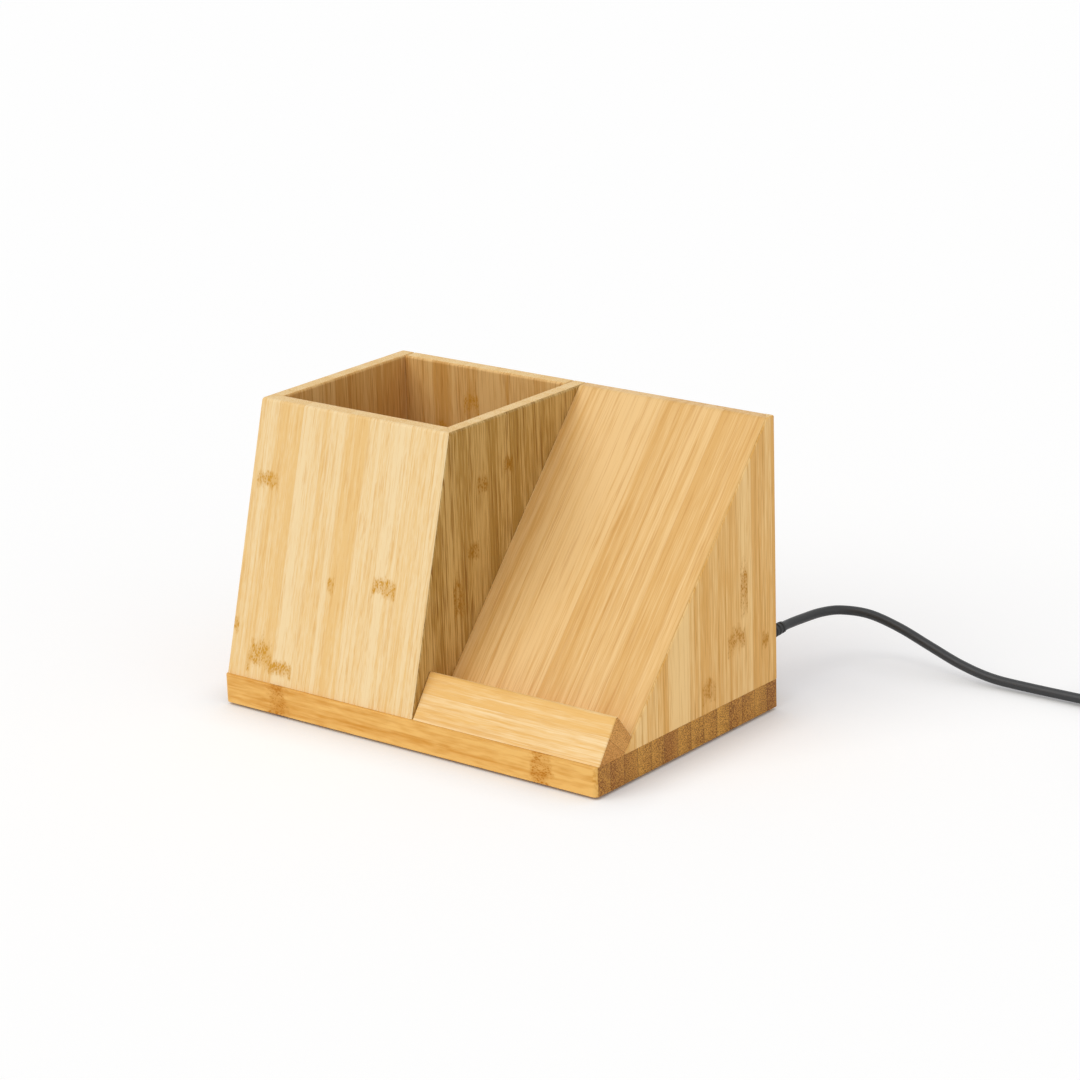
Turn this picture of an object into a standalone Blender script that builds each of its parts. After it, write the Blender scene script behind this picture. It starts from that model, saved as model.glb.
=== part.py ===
"""Desk organiser of laminated bamboo: a pen cup and a sloped wireless charging stand on one slab.

The slab carries a cup of four boards and, to its right, a stand of a sloped panel, a side cheek, a back
panel and a bar that a phone stands on. The charger sits behind the panel. Its cable plugs into the back.
Metres, +Z up, +Y to the back. The origin is on the floor, under the middle of the slab.
"""

import math

import bmesh
import bpy
from mathutils import Vector

# Slab and boards. The slab is as wide as the cup and the stand together, and its round nose is in front of them.
BODY_DEPTH = 0.104
SLAB_THICKNESS = 0.0105
SLAB_NOSE = 0.0015
SLAB_ROUND = 0.0015
BOARD = 0.006
BOARD_HEIGHT = 0.0965
BOARD_ROUND = 0.0008
GLUE_GAP = 0.0003
CUT_OVERRUN = 0.002

# Pen cup: the front wall leans back by the setback over its height
CUP_WIDTH = 0.087
CUP_SETBACK = 0.026

# Charging stand: where its slope starts behind the slab's front edge, and how deep its flat top is
STAND_FRONT = 0.014
STAND_TOP_DEPTH = 0.005

# Phone rest bar: its seat's place up the slope, its depth and how much its front lip rises
SEAT_HEIGHT = 0.007
SEAT_DEPTH = 0.0123
SEAT_LIP = 0.0023
BAR_ROUND = 0.0012

# Feet, each set in a recess
FOOT_RADIUS = 0.005
FOOT_THICKNESS = 0.0016
FOOT_RECESS = 0.0009
FOOT_INSET = 0.012
FOOT_ROUND = 0.0003

# Charger behind the panel, in the order in which it is stacked
COIL_HEIGHT = 0.073
POCKET_RADIUS = 0.0275
PANEL_SKIN = 0.0028
COIL_WIRE = 0.0011
COIL_WIRE_GAP = 0.0005
COIL_INNER_RADIUS = 0.0105
COIL_TURNS = 7
COIL_LEAD_RADIUS = 0.0066
COIL_LEAD_TURN = 0.3
FERRITE_RADIUS = 0.0238
FERRITE_BORE = 0.0088
FERRITE_THICKNESS = 0.0009
TRAY_WIDTH = 0.064
TRAY_SIDE_GAP = 0.0052
TRAY_HEIGHT = 0.062
TRAY_THICKNESS = 0.0016
TRAY_ROUND = 0.004
TRAY_SCREW_INSET = 0.0045
TRAY_PAD_RADIUS = 0.0225
LEAD_HOLE = 0.0018
POST_RADIUS = 0.0024
POST_HEIGHT = 0.0025
MAIN_BOARD_WIDTH = 0.056
MAIN_BOARD_HEIGHT = 0.034
PCB_THICKNESS = 0.0016
PCB_ROUND = 0.0015
BOARD_SCREW_INSET = 0.0035

# Parts on the main board, as width, height and thickness
CONTROLLER = (0.006, 0.006, 0.001)
BRIDGE = (0.005, 0.006, 0.0012)
CAPACITOR = (0.0032, 0.0025, 0.002)
CAPACITOR_PITCH = 0.0042
INDUCTOR_RADIUS = 0.0035
INDUCTOR_HEIGHT = 0.003
PART_ROUND = 0.0002

# Pan head screws
SCREW_RADIUS = 0.0011
SCREW_HEAD_RADIUS = 0.002
SCREW_HEAD_HEIGHT = 0.0013
SCREW_LENGTH = 0.0042
SCREW_POINT = 0.0012
SCREW_CLEARANCE = 0.0003
BOARD_SCREW_LENGTH = 0.0032
SOCKET_SCREW_LENGTH = 0.0085

# Supply socket behind the back panel, and the slot that the plug goes through
PORT_INSET = 0.018
PORT_HEIGHT = 0.0072
SLOT_WIDTH = 0.0126
SLOT_HEIGHT = 0.0076
SOCKET_WIDTH = 0.0094
SOCKET_HEIGHT = 0.0036
SOCKET_DEPTH = 0.0078
SOCKET_WALL = 0.0003
SOCKET_BACK = 0.001
TONGUE_WIDTH = 0.0062
TONGUE_THICKNESS = 0.0006
TONGUE_DEPTH = 0.0048
SOCKET_BOARD_WIDTH = 0.0185
SOCKET_BOARD_DEPTH = 0.016
SOCKET_BOARD_THICKNESS = 0.0012
SOCKET_SCREW_INSET = 0.0024
BRACKET_MARGIN = 0.001
SUPPLY_LEAD = 0.0013
SUPPLY_LEAD_PITCH = 0.0034
SUPPLY_PAD_INSET = 0.0093

# Cable: plug, ribbed relief, cord, and the adapter plug at the far end
PLUG_SHELL_WIDTH = 0.0082
PLUG_SHELL_HEIGHT = 0.0024
PLUG_SHELL_DEPTH = 0.0062
PLUG_SHELL_WALL = 0.0004
PLUG_BODY_WIDTH = 0.0114
PLUG_BODY_HEIGHT = 0.0064
PLUG_BODY_LENGTH = 0.022
PLUG_BODY_ROUND = 0.0012
PLUG_SETBACK = 0.0003
RELIEF_LENGTH = 0.0132
RELIEF_ROOT_RADIUS = 0.0028
RELIEF_TIP_RADIUS = 0.0021
RELIEF_GROOVE = 0.0004
RELIEF_RIBS = 5
CORD_DIAMETER = 0.0035
CORD_STEP = 0.007
ADAPTER_SHELL_WIDTH = 0.012
ADAPTER_SHELL_HEIGHT = 0.0045
ADAPTER_SHELL_LENGTH = 0.0125
ADAPTER_SHELL_WALL = 0.0004
ADAPTER_TONGUE_HEIGHT = 0.0016
ADAPTER_TONGUE_SETBACK = 0.0008
ADAPTER_BODY_WIDTH = 0.0155
ADAPTER_BODY_HEIGHT = 0.0078
ADAPTER_BODY_LENGTH = 0.022
ADAPTER_RELIEF_LENGTH = 0.009

# Put-away coil of the cord: loops in two layers, a tie round them, the middle of the coil on the floor
LOOPS = 7
LOOP_POINTS = 24
LOOP_GAP = 0.00055
LOOP_DIAMETER = 0.0368
COIL_MIDDLE = (0.1995, 0.1387)
TIE_WIDTH = 0.0035
TIE_THICKNESS = 0.0005

# Route of the cord's first stretch, from the relief's tip to the coil, and of the last one
LEAD_ROUTE = (
    (0.0669, 0.0921, 0.0188),
    (0.0689, 0.1023, 0.0188),
    (0.0736, 0.1087, 0.0187),
    (0.0835, 0.1119, 0.0180),
    (0.0960, 0.1125, 0.0150),
    (0.1090, 0.1124, 0.0105),
    (0.1220, 0.1123, 0.0061),
    (0.1350, 0.1124, 0.0034),
    (0.1500, 0.1129, 0.0027),
    (0.1740, 0.1133, 0.0026),
)
TAIL_ROUTE = (
    (0.2130, 0.1130, 0.0062),
    (0.2210, 0.1118, 0.0052),
    (0.2268, 0.1075, 0.0043),
    (0.2290, 0.1010, 0.0039),
    (0.2290, 0.0930, 0.0039),
)

# Places worked out from the sizes above
STAND_CLEAR = TRAY_WIDTH + 2 * TRAY_SIDE_GAP
BODY_WIDTH = CUP_WIDTH + GLUE_GAP + STAND_CLEAR + GLUE_GAP + BOARD
LEFT = -BODY_WIDTH / 2
RIGHT = BODY_WIDTH / 2
FRONT = -BODY_DEPTH / 2
BACK = BODY_DEPTH / 2
SLAB_BOTTOM = FOOT_THICKNESS + GLUE_GAP - FOOT_RECESS
SLAB_TOP = SLAB_BOTTOM + SLAB_THICKNESS
BOARD_FOOT = SLAB_TOP + GLUE_GAP
TOP = SLAB_TOP + BOARD_HEIGHT
CUP_RIGHT = LEFT + CUP_WIDTH
FRONT_RUN = BOARD * math.hypot(CUP_SETBACK, BOARD_HEIGHT) / BOARD_HEIGHT
SLOPE_RUN = BODY_DEPTH - STAND_FRONT - STAND_TOP_DEPTH
SLOPE_ANGLE = math.atan2(BOARD_HEIGHT, SLOPE_RUN)
PANEL_RUN = BOARD / math.sin(SLOPE_ANGLE)
STAND_LEFT = CUP_RIGHT + GLUE_GAP
STAND_RIGHT = RIGHT - BOARD - GLUE_GAP
PORT_X = RIGHT - PORT_INSET
PORT_Z = SLAB_TOP + PORT_HEIGHT
SOCKET_MOUTH = BACK - BOARD - GLUE_GAP


def clear_scene():
    """Start from an empty scene."""
    for thing in list(bpy.data.objects):
        bpy.data.objects.remove(thing)


def material(name, colour, roughness, metallic=0.0):
    """A plain Principled material."""
    made = bpy.data.materials.new(name)
    made.use_nodes = True
    shader = made.node_tree.nodes["Principled BSDF"]
    shader.inputs["Base Color"].default_value = (*colour, 1.0)
    shader.inputs["Roughness"].default_value = roughness
    shader.inputs["Metallic"].default_value = metallic
    return made


def add(name, data, finish, parent=None):
    """Link an object with its own material, under a parent if it has one."""
    thing = bpy.data.objects.new(name, data)
    bpy.context.collection.objects.link(thing)
    if finish:
        data.materials.append(finish)
    thing.parent = parent
    return thing


def mesh_of(name, shape):
    """Turn a bmesh into a mesh with its faces pointing out, smooth but for its sharp edges."""
    bmesh.ops.recalc_face_normals(shape, faces=shape.faces)
    mesh = bpy.data.meshes.new(name)
    shape.to_mesh(mesh)
    shape.free()
    mesh.shade_smooth()
    mesh.set_sharp_from_angle(angle=math.radians(35))
    return mesh


def between(name, first, second, rounded=None):
    """A solid between two outlines of as many points. Edges that rounded accepts get a bevel weight."""
    shape = bmesh.new()
    rings = [[shape.verts.new(p) for p in outline] for outline in (first, second)]
    count = len(first)
    shape.faces.new(rings[0])
    shape.faces.new(rings[1])
    for i in range(count):
        j = (i + 1) % count
        shape.faces.new((rings[0][i], rings[0][j], rings[1][j], rings[1][i]))
    weights = shape.edges.layers.float.new("bevel_weight_edge")
    for edge in shape.edges:
        ends = [v.co for v in edge.verts]
        edge[weights] = 1.0 if rounded and rounded(*ends) else 0.0
    return mesh_of(name, shape)


def soften(thing, width, segments=2):
    """Round the edges that carry a bevel weight."""
    bevel = thing.modifiers.new("rounding", "BEVEL")
    bevel.limit_method = "WEIGHT"
    bevel.width = width
    bevel.segments = segments


def cut(thing, cutter, name):
    """Take the cutter's shape out of the thing, and keep the cutter out of the build."""
    cutter.hide_render = True
    cutter.display_type = "WIRE"
    boolean = thing.modifiers.new(name, "BOOLEAN")
    boolean.operation = "DIFFERENCE"
    boolean.object = cutter


def join(thing, other, name):
    """Add the other shape to the thing as one body."""
    other.hide_render = True
    other.display_type = "WIRE"
    boolean = thing.modifiers.new(name, "BOOLEAN")
    boolean.operation = "UNION"
    boolean.object = other


def box_mesh(name, low, high, rounded=None):
    """A box between two corners."""
    corners = ((low[0], low[1]), (high[0], low[1]), (high[0], high[1]), (low[0], high[1]))
    first = [(x, y, low[2]) for x, y in corners]
    second = [(x, y, high[2]) for x, y in corners]
    return between(name, first, second, rounded)


def disc_mesh(name, radius, low, high, sides=24, middle=(0.0, 0.0)):
    """An upright round solid between two heights."""
    turns = [2 * math.pi * i / sides for i in range(sides)]
    ring = [(middle[0] + radius * math.cos(a), middle[1] + radius * math.sin(a)) for a in turns]
    first = [(x, y, low) for x, y in ring]
    second = [(x, y, high) for x, y in ring]
    return between(name, first, second)


def turned_mesh(name, profile, sides=16):
    """A solid turned about Z from a profile of (radius, height) points, closed at both ends."""
    shape = bmesh.new()
    rings = []
    for radius, height in profile:
        if radius == 0:
            rings.append([shape.verts.new((0, 0, height))])
            continue
        turns = [2 * math.pi * i / sides for i in range(sides)]
        rings.append([shape.verts.new((radius * math.cos(a), radius * math.sin(a), height)) for a in turns])
    for low, high in zip(rings, rings[1:]):
        for i in range(sides):
            j = (i + 1) % sides
            if len(low) == 1:
                shape.faces.new((low[0], high[i], high[j]))
            elif len(high) == 1:
                shape.faces.new((low[i], low[j], high[0]))
            else:
                shape.faces.new((low[i], low[j], high[j], high[i]))
    for ring in (rings[0], rings[-1]):
        if len(ring) > 1:
            shape.faces.new(ring)
    return mesh_of(name, shape)


def rounded_rectangle(width, height, radius, steps=3):
    """The outline of a rectangle with round corners, about the origin."""
    outline = []
    for quarter, (sx, sy) in enumerate(((1, 1), (-1, 1), (-1, -1), (1, -1))):
        middle = (sx * (width / 2 - radius), sy * (height / 2 - radius))
        for i in range(steps + 1):
            angle = math.pi / 2 * (quarter + i / steps)
            outline.append((middle[0] + radius * math.cos(angle), middle[1] + radius * math.sin(angle)))
    return outline


def slab_mesh(name, width, height, radius, low, high, rounded=None, steps=3):
    """A flat plate with round corners between two heights."""
    outline = rounded_rectangle(width, height, radius, steps)
    first = [(x, y, low) for x, y in outline]
    second = [(x, y, high) for x, y in outline]
    return between(name, first, second, rounded)


def smooth_route(points, step):
    """Points about a step apart on one smooth curve through the given points, ends included."""
    given = [Vector(p) for p in points]
    padded = [given[0] * 2 - given[1], *given, given[-1] * 2 - given[-2]]
    dense = [given[0]]
    parts = 24
    for a, b, c, d in zip(padded, padded[1:], padded[2:], padded[3:]):
        for i in range(1, parts + 1):
            t = i / parts
            dense.append(
                0.5 * (2 * b + (c - a) * t + (2 * a - 5 * b + 4 * c - d) * t**2 + (3 * b - a - 3 * c + d) * t**3)
            )
    walked = [0.0]
    for p, q in zip(dense, dense[1:]):
        walked.append(walked[-1] + (q - p).length)
    count = max(2, round(walked[-1] / step))
    wanted = [walked[-1] * i / count for i in range(count + 1)]
    read, k = [], 0
    for w in wanted:
        while k < len(walked) - 2 and walked[k + 1] < w:
            k += 1
        share = (w - walked[k]) / (walked[k + 1] - walked[k])
        read.append(dense[k].lerp(dense[k + 1], min(1.0, max(0.0, share))))
    return read


def tube(name, points, diameter, finish, resolution=2, parent=None):
    """A solid round tube along the points, with filled ends."""
    curve = bpy.data.curves.new(name, "CURVE")
    curve.dimensions = "3D"
    curve.bevel_depth = diameter / 2
    curve.bevel_resolution = resolution
    curve.use_fill_caps = True
    line = curve.splines.new("POLY")
    line.points.add(len(points) - 1)
    for target, p in zip(line.points, points):
        target.co = (*p, 1.0)
    line.use_smooth = True
    return add(name, curve, finish, parent)


def least_gap(points, diameter, skip):
    """The least clear space between a tube's stretches that are more than skip points apart."""
    middles = [Vector(p).lerp(Vector(q), 0.5) for p, q in zip(points, points[1:])]
    spots = [Vector(p) for p in points] + middles
    order = [float(i) for i in range(len(points))] + [i + 0.5 for i in range(len(middles))]
    least = math.inf
    for i, p in enumerate(spots):
        for j in range(i + 1, len(spots)):
            if abs(order[i] - order[j]) > skip:
                least = min(least, (spots[j] - p).length)
    return least - diameter


def route_length(points):
    """The length of a line through the points."""
    return sum((Vector(q) - Vector(p)).length for p, q in zip(points, points[1:]))


def cup_front(z):
    """Where the cup's slanted front face is at a height."""
    return FRONT + CUP_SETBACK * (z - SLAB_TOP) / BOARD_HEIGHT


def slope_front(z):
    """Where the stand's sloped face is at a height."""
    return FRONT + STAND_FRONT + SLOPE_RUN * (z - SLAB_TOP) / BOARD_HEIGHT


def at_top(p, q):
    """Whether an edge lies in the boards' top face."""
    return abs(p.z - TOP) < GLUE_GAP / 3 and abs(q.z - TOP) < GLUE_GAP / 3


def base_slab(finish):
    """The slab, rounded but for the top edges that carry boards, with a recess for each foot."""

    def rounded(p, q):
        return min(p.z, q.z) < SLAB_TOP - GLUE_GAP or max(p.y, q.y) < FRONT

    mesh = box_mesh("base_slab", (LEFT, FRONT - SLAB_NOSE, SLAB_BOTTOM), (RIGHT, BACK, SLAB_TOP), rounded)
    slab = add("base_slab", mesh, finish)
    soften(slab, SLAB_ROUND)
    for number, (x, y) in enumerate(foot_places()):
        mesh = disc_mesh(
            "foot_recess",
            FOOT_RADIUS + GLUE_GAP,
            SLAB_BOTTOM - CUT_OVERRUN,
            SLAB_BOTTOM + FOOT_RECESS,
            middle=(x, y),
        )
        cut(slab, add(f"foot_recess_{number}", mesh, None), f"recess {number}")
    for number, x in enumerate(socket_screw_places()):
        mesh = disc_mesh(
            "slab_pilot",
            SCREW_RADIUS + SCREW_CLEARANCE,
            socket_screw_top() - SOCKET_SCREW_LENGTH - GLUE_GAP,
            SLAB_TOP + CUT_OVERRUN,
            sides=12,
            middle=(x, socket_board_middle()),
        )
        cut(slab, add(f"slab_pilot_{number}", mesh, None), f"pilot {number}")


def foot_places():
    """The middles of the four feet."""
    xs = (LEFT + FOOT_INSET, RIGHT - FOOT_INSET)
    ys = (FRONT + FOOT_INSET, BACK - FOOT_INSET)
    return [(x, y) for y in ys for x in xs]


def feet(finish):
    """Four round pads, each standing on the floor and let into the slab."""
    names = ("foot_front_left", "foot_front_right", "foot_back_left", "foot_back_right")
    for name, (x, y) in zip(names, foot_places()):
        mesh = turned_mesh(
            name,
            (
                (FOOT_RADIUS - FOOT_ROUND, 0.0),
                (FOOT_RADIUS, FOOT_ROUND),
                (FOOT_RADIUS, FOOT_THICKNESS),
            ),
            sides=24,
        )
        foot = add(name, mesh, finish)
        foot.location = (x, y, 0)


def cup_front_wall(finish):
    """The slanted front board, its ends mitred to the side walls."""
    heights = (BOARD_FOOT, TOP)
    outer = [(LEFT, cup_front(z), z) for z in heights]
    outer += [(CUP_RIGHT, cup_front(z), z) for z in reversed(heights)]
    inner = [(LEFT + BOARD, cup_front(z) + FRONT_RUN, z) for z in heights]
    inner += [(CUP_RIGHT - BOARD, cup_front(z) + FRONT_RUN, z) for z in reversed(heights)]
    soften(add("cup_front_wall", between("cup_front_wall", outer, inner, at_top), finish), BOARD_ROUND)


def cup_side(name, outer_x, inner_x, finish):
    """A side board of the cup: its front end is mitred, and its back end shows behind."""
    front = GLUE_GAP
    outlines = []
    for x, run in ((outer_x, 0.0), (inner_x, FRONT_RUN)):
        outlines.append(
            [
                (x, cup_front(BOARD_FOOT) + run + front, BOARD_FOOT),
                (x, cup_front(TOP) + run + front, TOP),
                (x, BACK, TOP),
                (x, BACK, BOARD_FOOT),
            ]
        )
    soften(add(name, between(name, *outlines, at_top), finish), BOARD_ROUND)


def cup_back_wall(finish):
    """The back board, between the cup's side walls."""
    mesh = box_mesh(
        "cup_back_wall",
        (LEFT + BOARD + GLUE_GAP, BACK - BOARD, BOARD_FOOT),
        (CUP_RIGHT - BOARD - GLUE_GAP, BACK, TOP),
        at_top,
    )
    soften(add("cup_back_wall", mesh, finish), BOARD_ROUND)


def slope_depth(y, z):
    """How far behind the stand's sloped face a place is, measured square to it."""
    return (y - slope_front(z)) * math.sin(SLOPE_ANGLE)


def stand_cheek(finish):
    """The stand's right side: a board cut to the slope, its sloped edge mitred to the charging panel."""
    outer = [
        (RIGHT, slope_front(BOARD_FOOT), BOARD_FOOT),
        (RIGHT, slope_front(TOP), TOP),
        (RIGHT, BACK, TOP),
        (RIGHT, BACK, BOARD_FOOT),
    ]
    inner = [
        (RIGHT - BOARD, slope_front(BOARD_FOOT) + PANEL_RUN, BOARD_FOOT),
        (RIGHT - BOARD, BACK, panel_back(BACK)),
        (RIGHT - BOARD, BACK, BOARD_FOOT),
    ]
    tip = (RIGHT - slope_depth(BACK, TOP), BACK, TOP)
    points = [*outer, *inner, tip]
    faces = ((0, 1, 2, 3), (0, 4, 5, 7, 1), (1, 7, 2), (2, 7, 5, 6, 3), (0, 3, 6, 4), (4, 6, 5))
    shape = bmesh.new()
    corners = [shape.verts.new(p) for p in points]
    for face in faces:
        shape.faces.new([corners[i] for i in face])
    weights = shape.edges.layers.float.new("bevel_weight_edge")
    for edge in shape.edges:
        edge[weights] = 1.0 if at_top(*(v.co for v in edge.verts)) else 0.0
    soften(add("stand_cheek", mesh_of("stand_cheek", shape), finish), BOARD_ROUND)


def panel_back(y):
    """How high the charging panel's hidden face is at a depth."""
    return SLAB_TOP + BOARD_HEIGHT * (y - PANEL_RUN - FRONT - STAND_FRONT) / SLOPE_RUN


def charging_panel(finish, frame):
    """The sloped board that the phone leans on. The charger's pocket is milled into its hidden face."""
    outline = (
        (slope_front(BOARD_FOOT), BOARD_FOOT),
        (slope_front(TOP), TOP),
        (BACK, TOP),
        (BACK, panel_back(BACK)),
        (slope_front(BOARD_FOOT) + PANEL_RUN, BOARD_FOOT),
    )
    first = [(STAND_LEFT, y, z) for y, z in outline]
    second = [(RIGHT - GLUE_GAP - slope_depth(y, z), y, z) for y, z in outline]
    panel = add("charging_panel", between("charging_panel", first, second, at_top), finish)
    soften(panel, BOARD_ROUND)
    pocket = disc_mesh("coil_pocket", POCKET_RADIUS, -BOARD - CUT_OVERRUN, -PANEL_SKIN, sides=48)
    cut(panel, add("coil_pocket", pocket, None, frame), "pocket")
    for number, (x, y) in enumerate(tray_screw_places()):
        pilot = disc_mesh(
            "panel_pilot",
            SCREW_RADIUS + SCREW_CLEARANCE,
            -BOARD - CUT_OVERRUN,
            tray_back() + SCREW_LENGTH + SCREW_CLEARANCE,
            sides=12,
            middle=(x, y),
        )
        cut(panel, add(f"panel_pilot_{number}", pilot, None, frame), f"pilot {number}")


def stand_back_panel(finish):
    """The upright board behind the charger: bevelled under the panel, with the plug's slot."""
    front, back = BACK - BOARD, BACK
    outline = (
        (front, BOARD_FOOT),
        (front, panel_back(front) - GLUE_GAP / math.cos(SLOPE_ANGLE)),
        (back, panel_back(back) - GLUE_GAP / math.cos(SLOPE_ANGLE)),
        (back, BOARD_FOOT),
    )
    first = [(STAND_LEFT, y, z) for y, z in outline]
    second = [(STAND_RIGHT, y, z) for y, z in outline]
    panel = add("stand_back_panel", between("stand_back_panel", first, second), finish)
    mesh = slab_mesh("plug_slot", SLOT_WIDTH, SLOT_HEIGHT, SLOT_HEIGHT / 3, -CUT_OVERRUN, BOARD + CUT_OVERRUN)
    slot = add("plug_slot", mesh, None)
    slot.rotation_euler = (math.radians(90), 0, 0)
    slot.location = (PORT_X, BACK, PORT_Z)
    cut(panel, slot, "slot")


def phone_rest_bar(finish):
    """The bar that the phone stands on: its seat leans towards the panel behind a low lip."""
    up = Vector((0, math.cos(SLOPE_ANGLE), math.sin(SLOPE_ANGLE)))
    out = Vector((0, -math.sin(SLOPE_ANGLE), math.cos(SLOPE_ANGLE)))
    root = Vector((0, slope_front(BOARD_FOOT), BOARD_FOOT)) - Vector((0, GLUE_GAP / math.sin(SLOPE_ANGLE), 0))
    heel = root + up * SEAT_HEIGHT
    lip = heel + out * SEAT_DEPTH + up * SEAT_LIP
    toe = Vector((0, FRONT, BOARD_FOOT))

    def rounded(p, q):
        return abs(p.x - q.x) > BOARD and max(p.z, q.z) > lip.z - GLUE_GAP

    outline = (toe, lip, heel, root)
    first = [(STAND_LEFT, p.y, p.z) for p in outline]
    second = [(RIGHT, p.y, p.z) for p in outline]
    soften(add("phone_rest_bar", between("phone_rest_bar", first, second, rounded), finish), BAR_ROUND, 3)


def slope_frame():
    """An empty on the panel's face in front of the charger: local Y runs up the slope, local Z out of it."""
    frame = bpy.data.objects.new("slope_frame", None)
    bpy.context.collection.objects.link(frame)
    rise = COIL_HEIGHT * math.sin(SLOPE_ANGLE)
    height = SLAB_TOP + rise
    frame.location = ((STAND_LEFT + STAND_RIGHT) / 2, slope_front(height), height)
    frame.rotation_euler = (SLOPE_ANGLE, 0, 0)
    return frame


def coil_level():
    """The height of the charging coil's wire in the slope frame."""
    return -PANEL_SKIN - GLUE_GAP - COIL_WIRE / 2


def ferrite_back():
    """The height of the ferrite's hidden face in the slope frame."""
    return coil_level() - COIL_WIRE / 2 - GLUE_GAP - FERRITE_THICKNESS


def tray_front():
    """The height of the tray's plate, just off the panel's hidden face."""
    return -BOARD - GLUE_GAP


def tray_back():
    """The height of the tray's hidden face in the slope frame."""
    return tray_front() - TRAY_THICKNESS


def main_board_front():
    """The height of the main board's face that its posts hold."""
    return tray_back() - POST_HEIGHT


def main_board_back():
    """The height of the main board's face that carries the parts."""
    return main_board_front() - PCB_THICKNESS


def tray_screw_places():
    """The tray's four screws, one near each corner."""
    x, y = TRAY_WIDTH / 2 - TRAY_SCREW_INSET, TRAY_HEIGHT / 2 - TRAY_SCREW_INSET
    return [(-x, -y), (x, -y), (-x, y), (x, y)]


def board_screw_places():
    """The main board's two screws, at opposite corners."""
    x = MAIN_BOARD_WIDTH / 2 - BOARD_SCREW_INSET
    y = MAIN_BOARD_HEIGHT / 2 - BOARD_SCREW_INSET
    return [(-x, -y), (x, y)]


def coil_lead(turn, radius, way):
    """A lead of the charging coil: from a point at the wire's level it bends back and runs to the board.

    The way is +1 if the wire goes on in the sense of the turns here, and -1 if it comes from there.
    """
    angle = 2 * math.pi * turn
    start = Vector((radius * math.cos(angle), radius * math.sin(angle), coil_level()))
    along = Vector((-math.sin(angle), math.cos(angle), 0)) * way
    bend = COIL_WIRE * 1.5
    steps = 4
    points = []
    for i in range(1, steps + 1):
        swing = math.pi / 2 * i / steps
        points.append(start + along * bend * math.sin(swing) - Vector((0, 0, bend * (1 - math.cos(swing)))))
    points.append(Vector((points[-1].x, points[-1].y, main_board_front() + GLUE_GAP)))
    return points


def inner_lead():
    """The lead through the ferrite's bore, from the wire's level to the board."""
    return coil_lead(-COIL_LEAD_TURN, COIL_LEAD_RADIUS, -1)


def outer_lead():
    """The lead outside the ferrite, from the wire's level to the board."""
    return coil_lead(COIL_TURNS + COIL_LEAD_TURN, outside_radius(), 1)


def outside_radius():
    """How far out the outer lead passes the ferrite."""
    return FERRITE_RADIUS + COIL_WIRE


def charging_coil_points():
    """The flat winding, from the end that comes through the ferrite's bore to the one outside it."""
    pitch = COIL_WIRE + COIL_WIRE_GAP
    outer = COIL_INNER_RADIUS + pitch * COIL_TURNS
    level = coil_level()
    steps = math.ceil(COIL_LEAD_TURN * LOOP_POINTS)

    def at(turn, radius):
        angle = 2 * math.pi * turn
        return Vector((radius * math.cos(angle), radius * math.sin(angle), level))

    def eased(share):
        return share * share * (3 - 2 * share)

    points = list(reversed(inner_lead()))
    for i in range(steps):
        share = i / steps
        radius = COIL_LEAD_RADIUS + (COIL_INNER_RADIUS - COIL_LEAD_RADIUS) * eased(share)
        points.append(at(-COIL_LEAD_TURN * (1 - share), radius))
    for i in range(COIL_TURNS * LOOP_POINTS + 1):
        turn = i / LOOP_POINTS
        points.append(at(turn, COIL_INNER_RADIUS + pitch * turn))
    for i in range(1, steps + 1):
        share = i / steps
        radius = outer + (outside_radius() - outer) * eased(share)
        points.append(at(COIL_TURNS + COIL_LEAD_TURN * share, radius))
    return points + outer_lead()


def charging_coil(finish, frame):
    """The transmitter's flat coil, one unbroken wire."""
    points = charging_coil_points()
    tube("charging_coil", points, COIL_WIRE, finish, resolution=1, parent=frame)
    gap = least_gap(points, COIL_WIRE, LOOP_POINTS / 3)
    print(f"charging coil: least gap to itself {gap * 1000:.2f} mm")


def ferrite_sheet(finish, frame):
    """The ferrite ring behind the coil."""
    back = ferrite_back()
    mesh = disc_mesh("ferrite_sheet", FERRITE_RADIUS, back, back + FERRITE_THICKNESS, sides=40)
    ferrite = add("ferrite_sheet", mesh, finish, frame)
    mesh = disc_mesh("ferrite_bore", FERRITE_BORE, back - CUT_OVERRUN, back + CUT_OVERRUN)
    cut(ferrite, add("ferrite_bore", mesh, None, frame), "bore")


def lead_holes():
    """Where the coil's two ends pass through the tray."""
    return [(lead[-1].x, lead[-1].y) for lead in (inner_lead(), outer_lead())]


def coil_tray(finish, frame):
    """The moulded carrier: a plate screwed to the panel, a pad under the ferrite, posts for the board."""
    mesh = slab_mesh("coil_tray", TRAY_WIDTH, TRAY_HEIGHT, TRAY_ROUND, tray_back(), tray_front())
    tray = add("coil_tray", mesh, finish, frame)
    pad = disc_mesh("tray_pad", TRAY_PAD_RADIUS, tray_back() + TRAY_THICKNESS / 2, ferrite_back() - GLUE_GAP)
    join(tray, add("tray_pad", pad, None, frame), "pad")
    for number, (x, y) in enumerate(board_screw_places()):
        post = disc_mesh(
            "tray_post",
            POST_RADIUS,
            main_board_front() + GLUE_GAP,
            tray_back() + TRAY_THICKNESS / 2,
            sides=16,
            middle=(x, y),
        )
        join(tray, add(f"tray_post_{number}", post, None, frame), f"post {number}")
    holes = [(x, y, SCREW_RADIUS + SCREW_CLEARANCE) for x, y in tray_screw_places() + board_screw_places()]
    holes += [(x, y, LEAD_HOLE) for x, y in lead_holes()]
    for number, (x, y, radius) in enumerate(holes):
        low, high = main_board_front() - CUT_OVERRUN, -PANEL_SKIN
        mesh = disc_mesh("tray_hole", radius, low, high, sides=12, middle=(x, y))
        cut(tray, add(f"tray_hole_{number}", mesh, None, frame), f"hole {number}")


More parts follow.
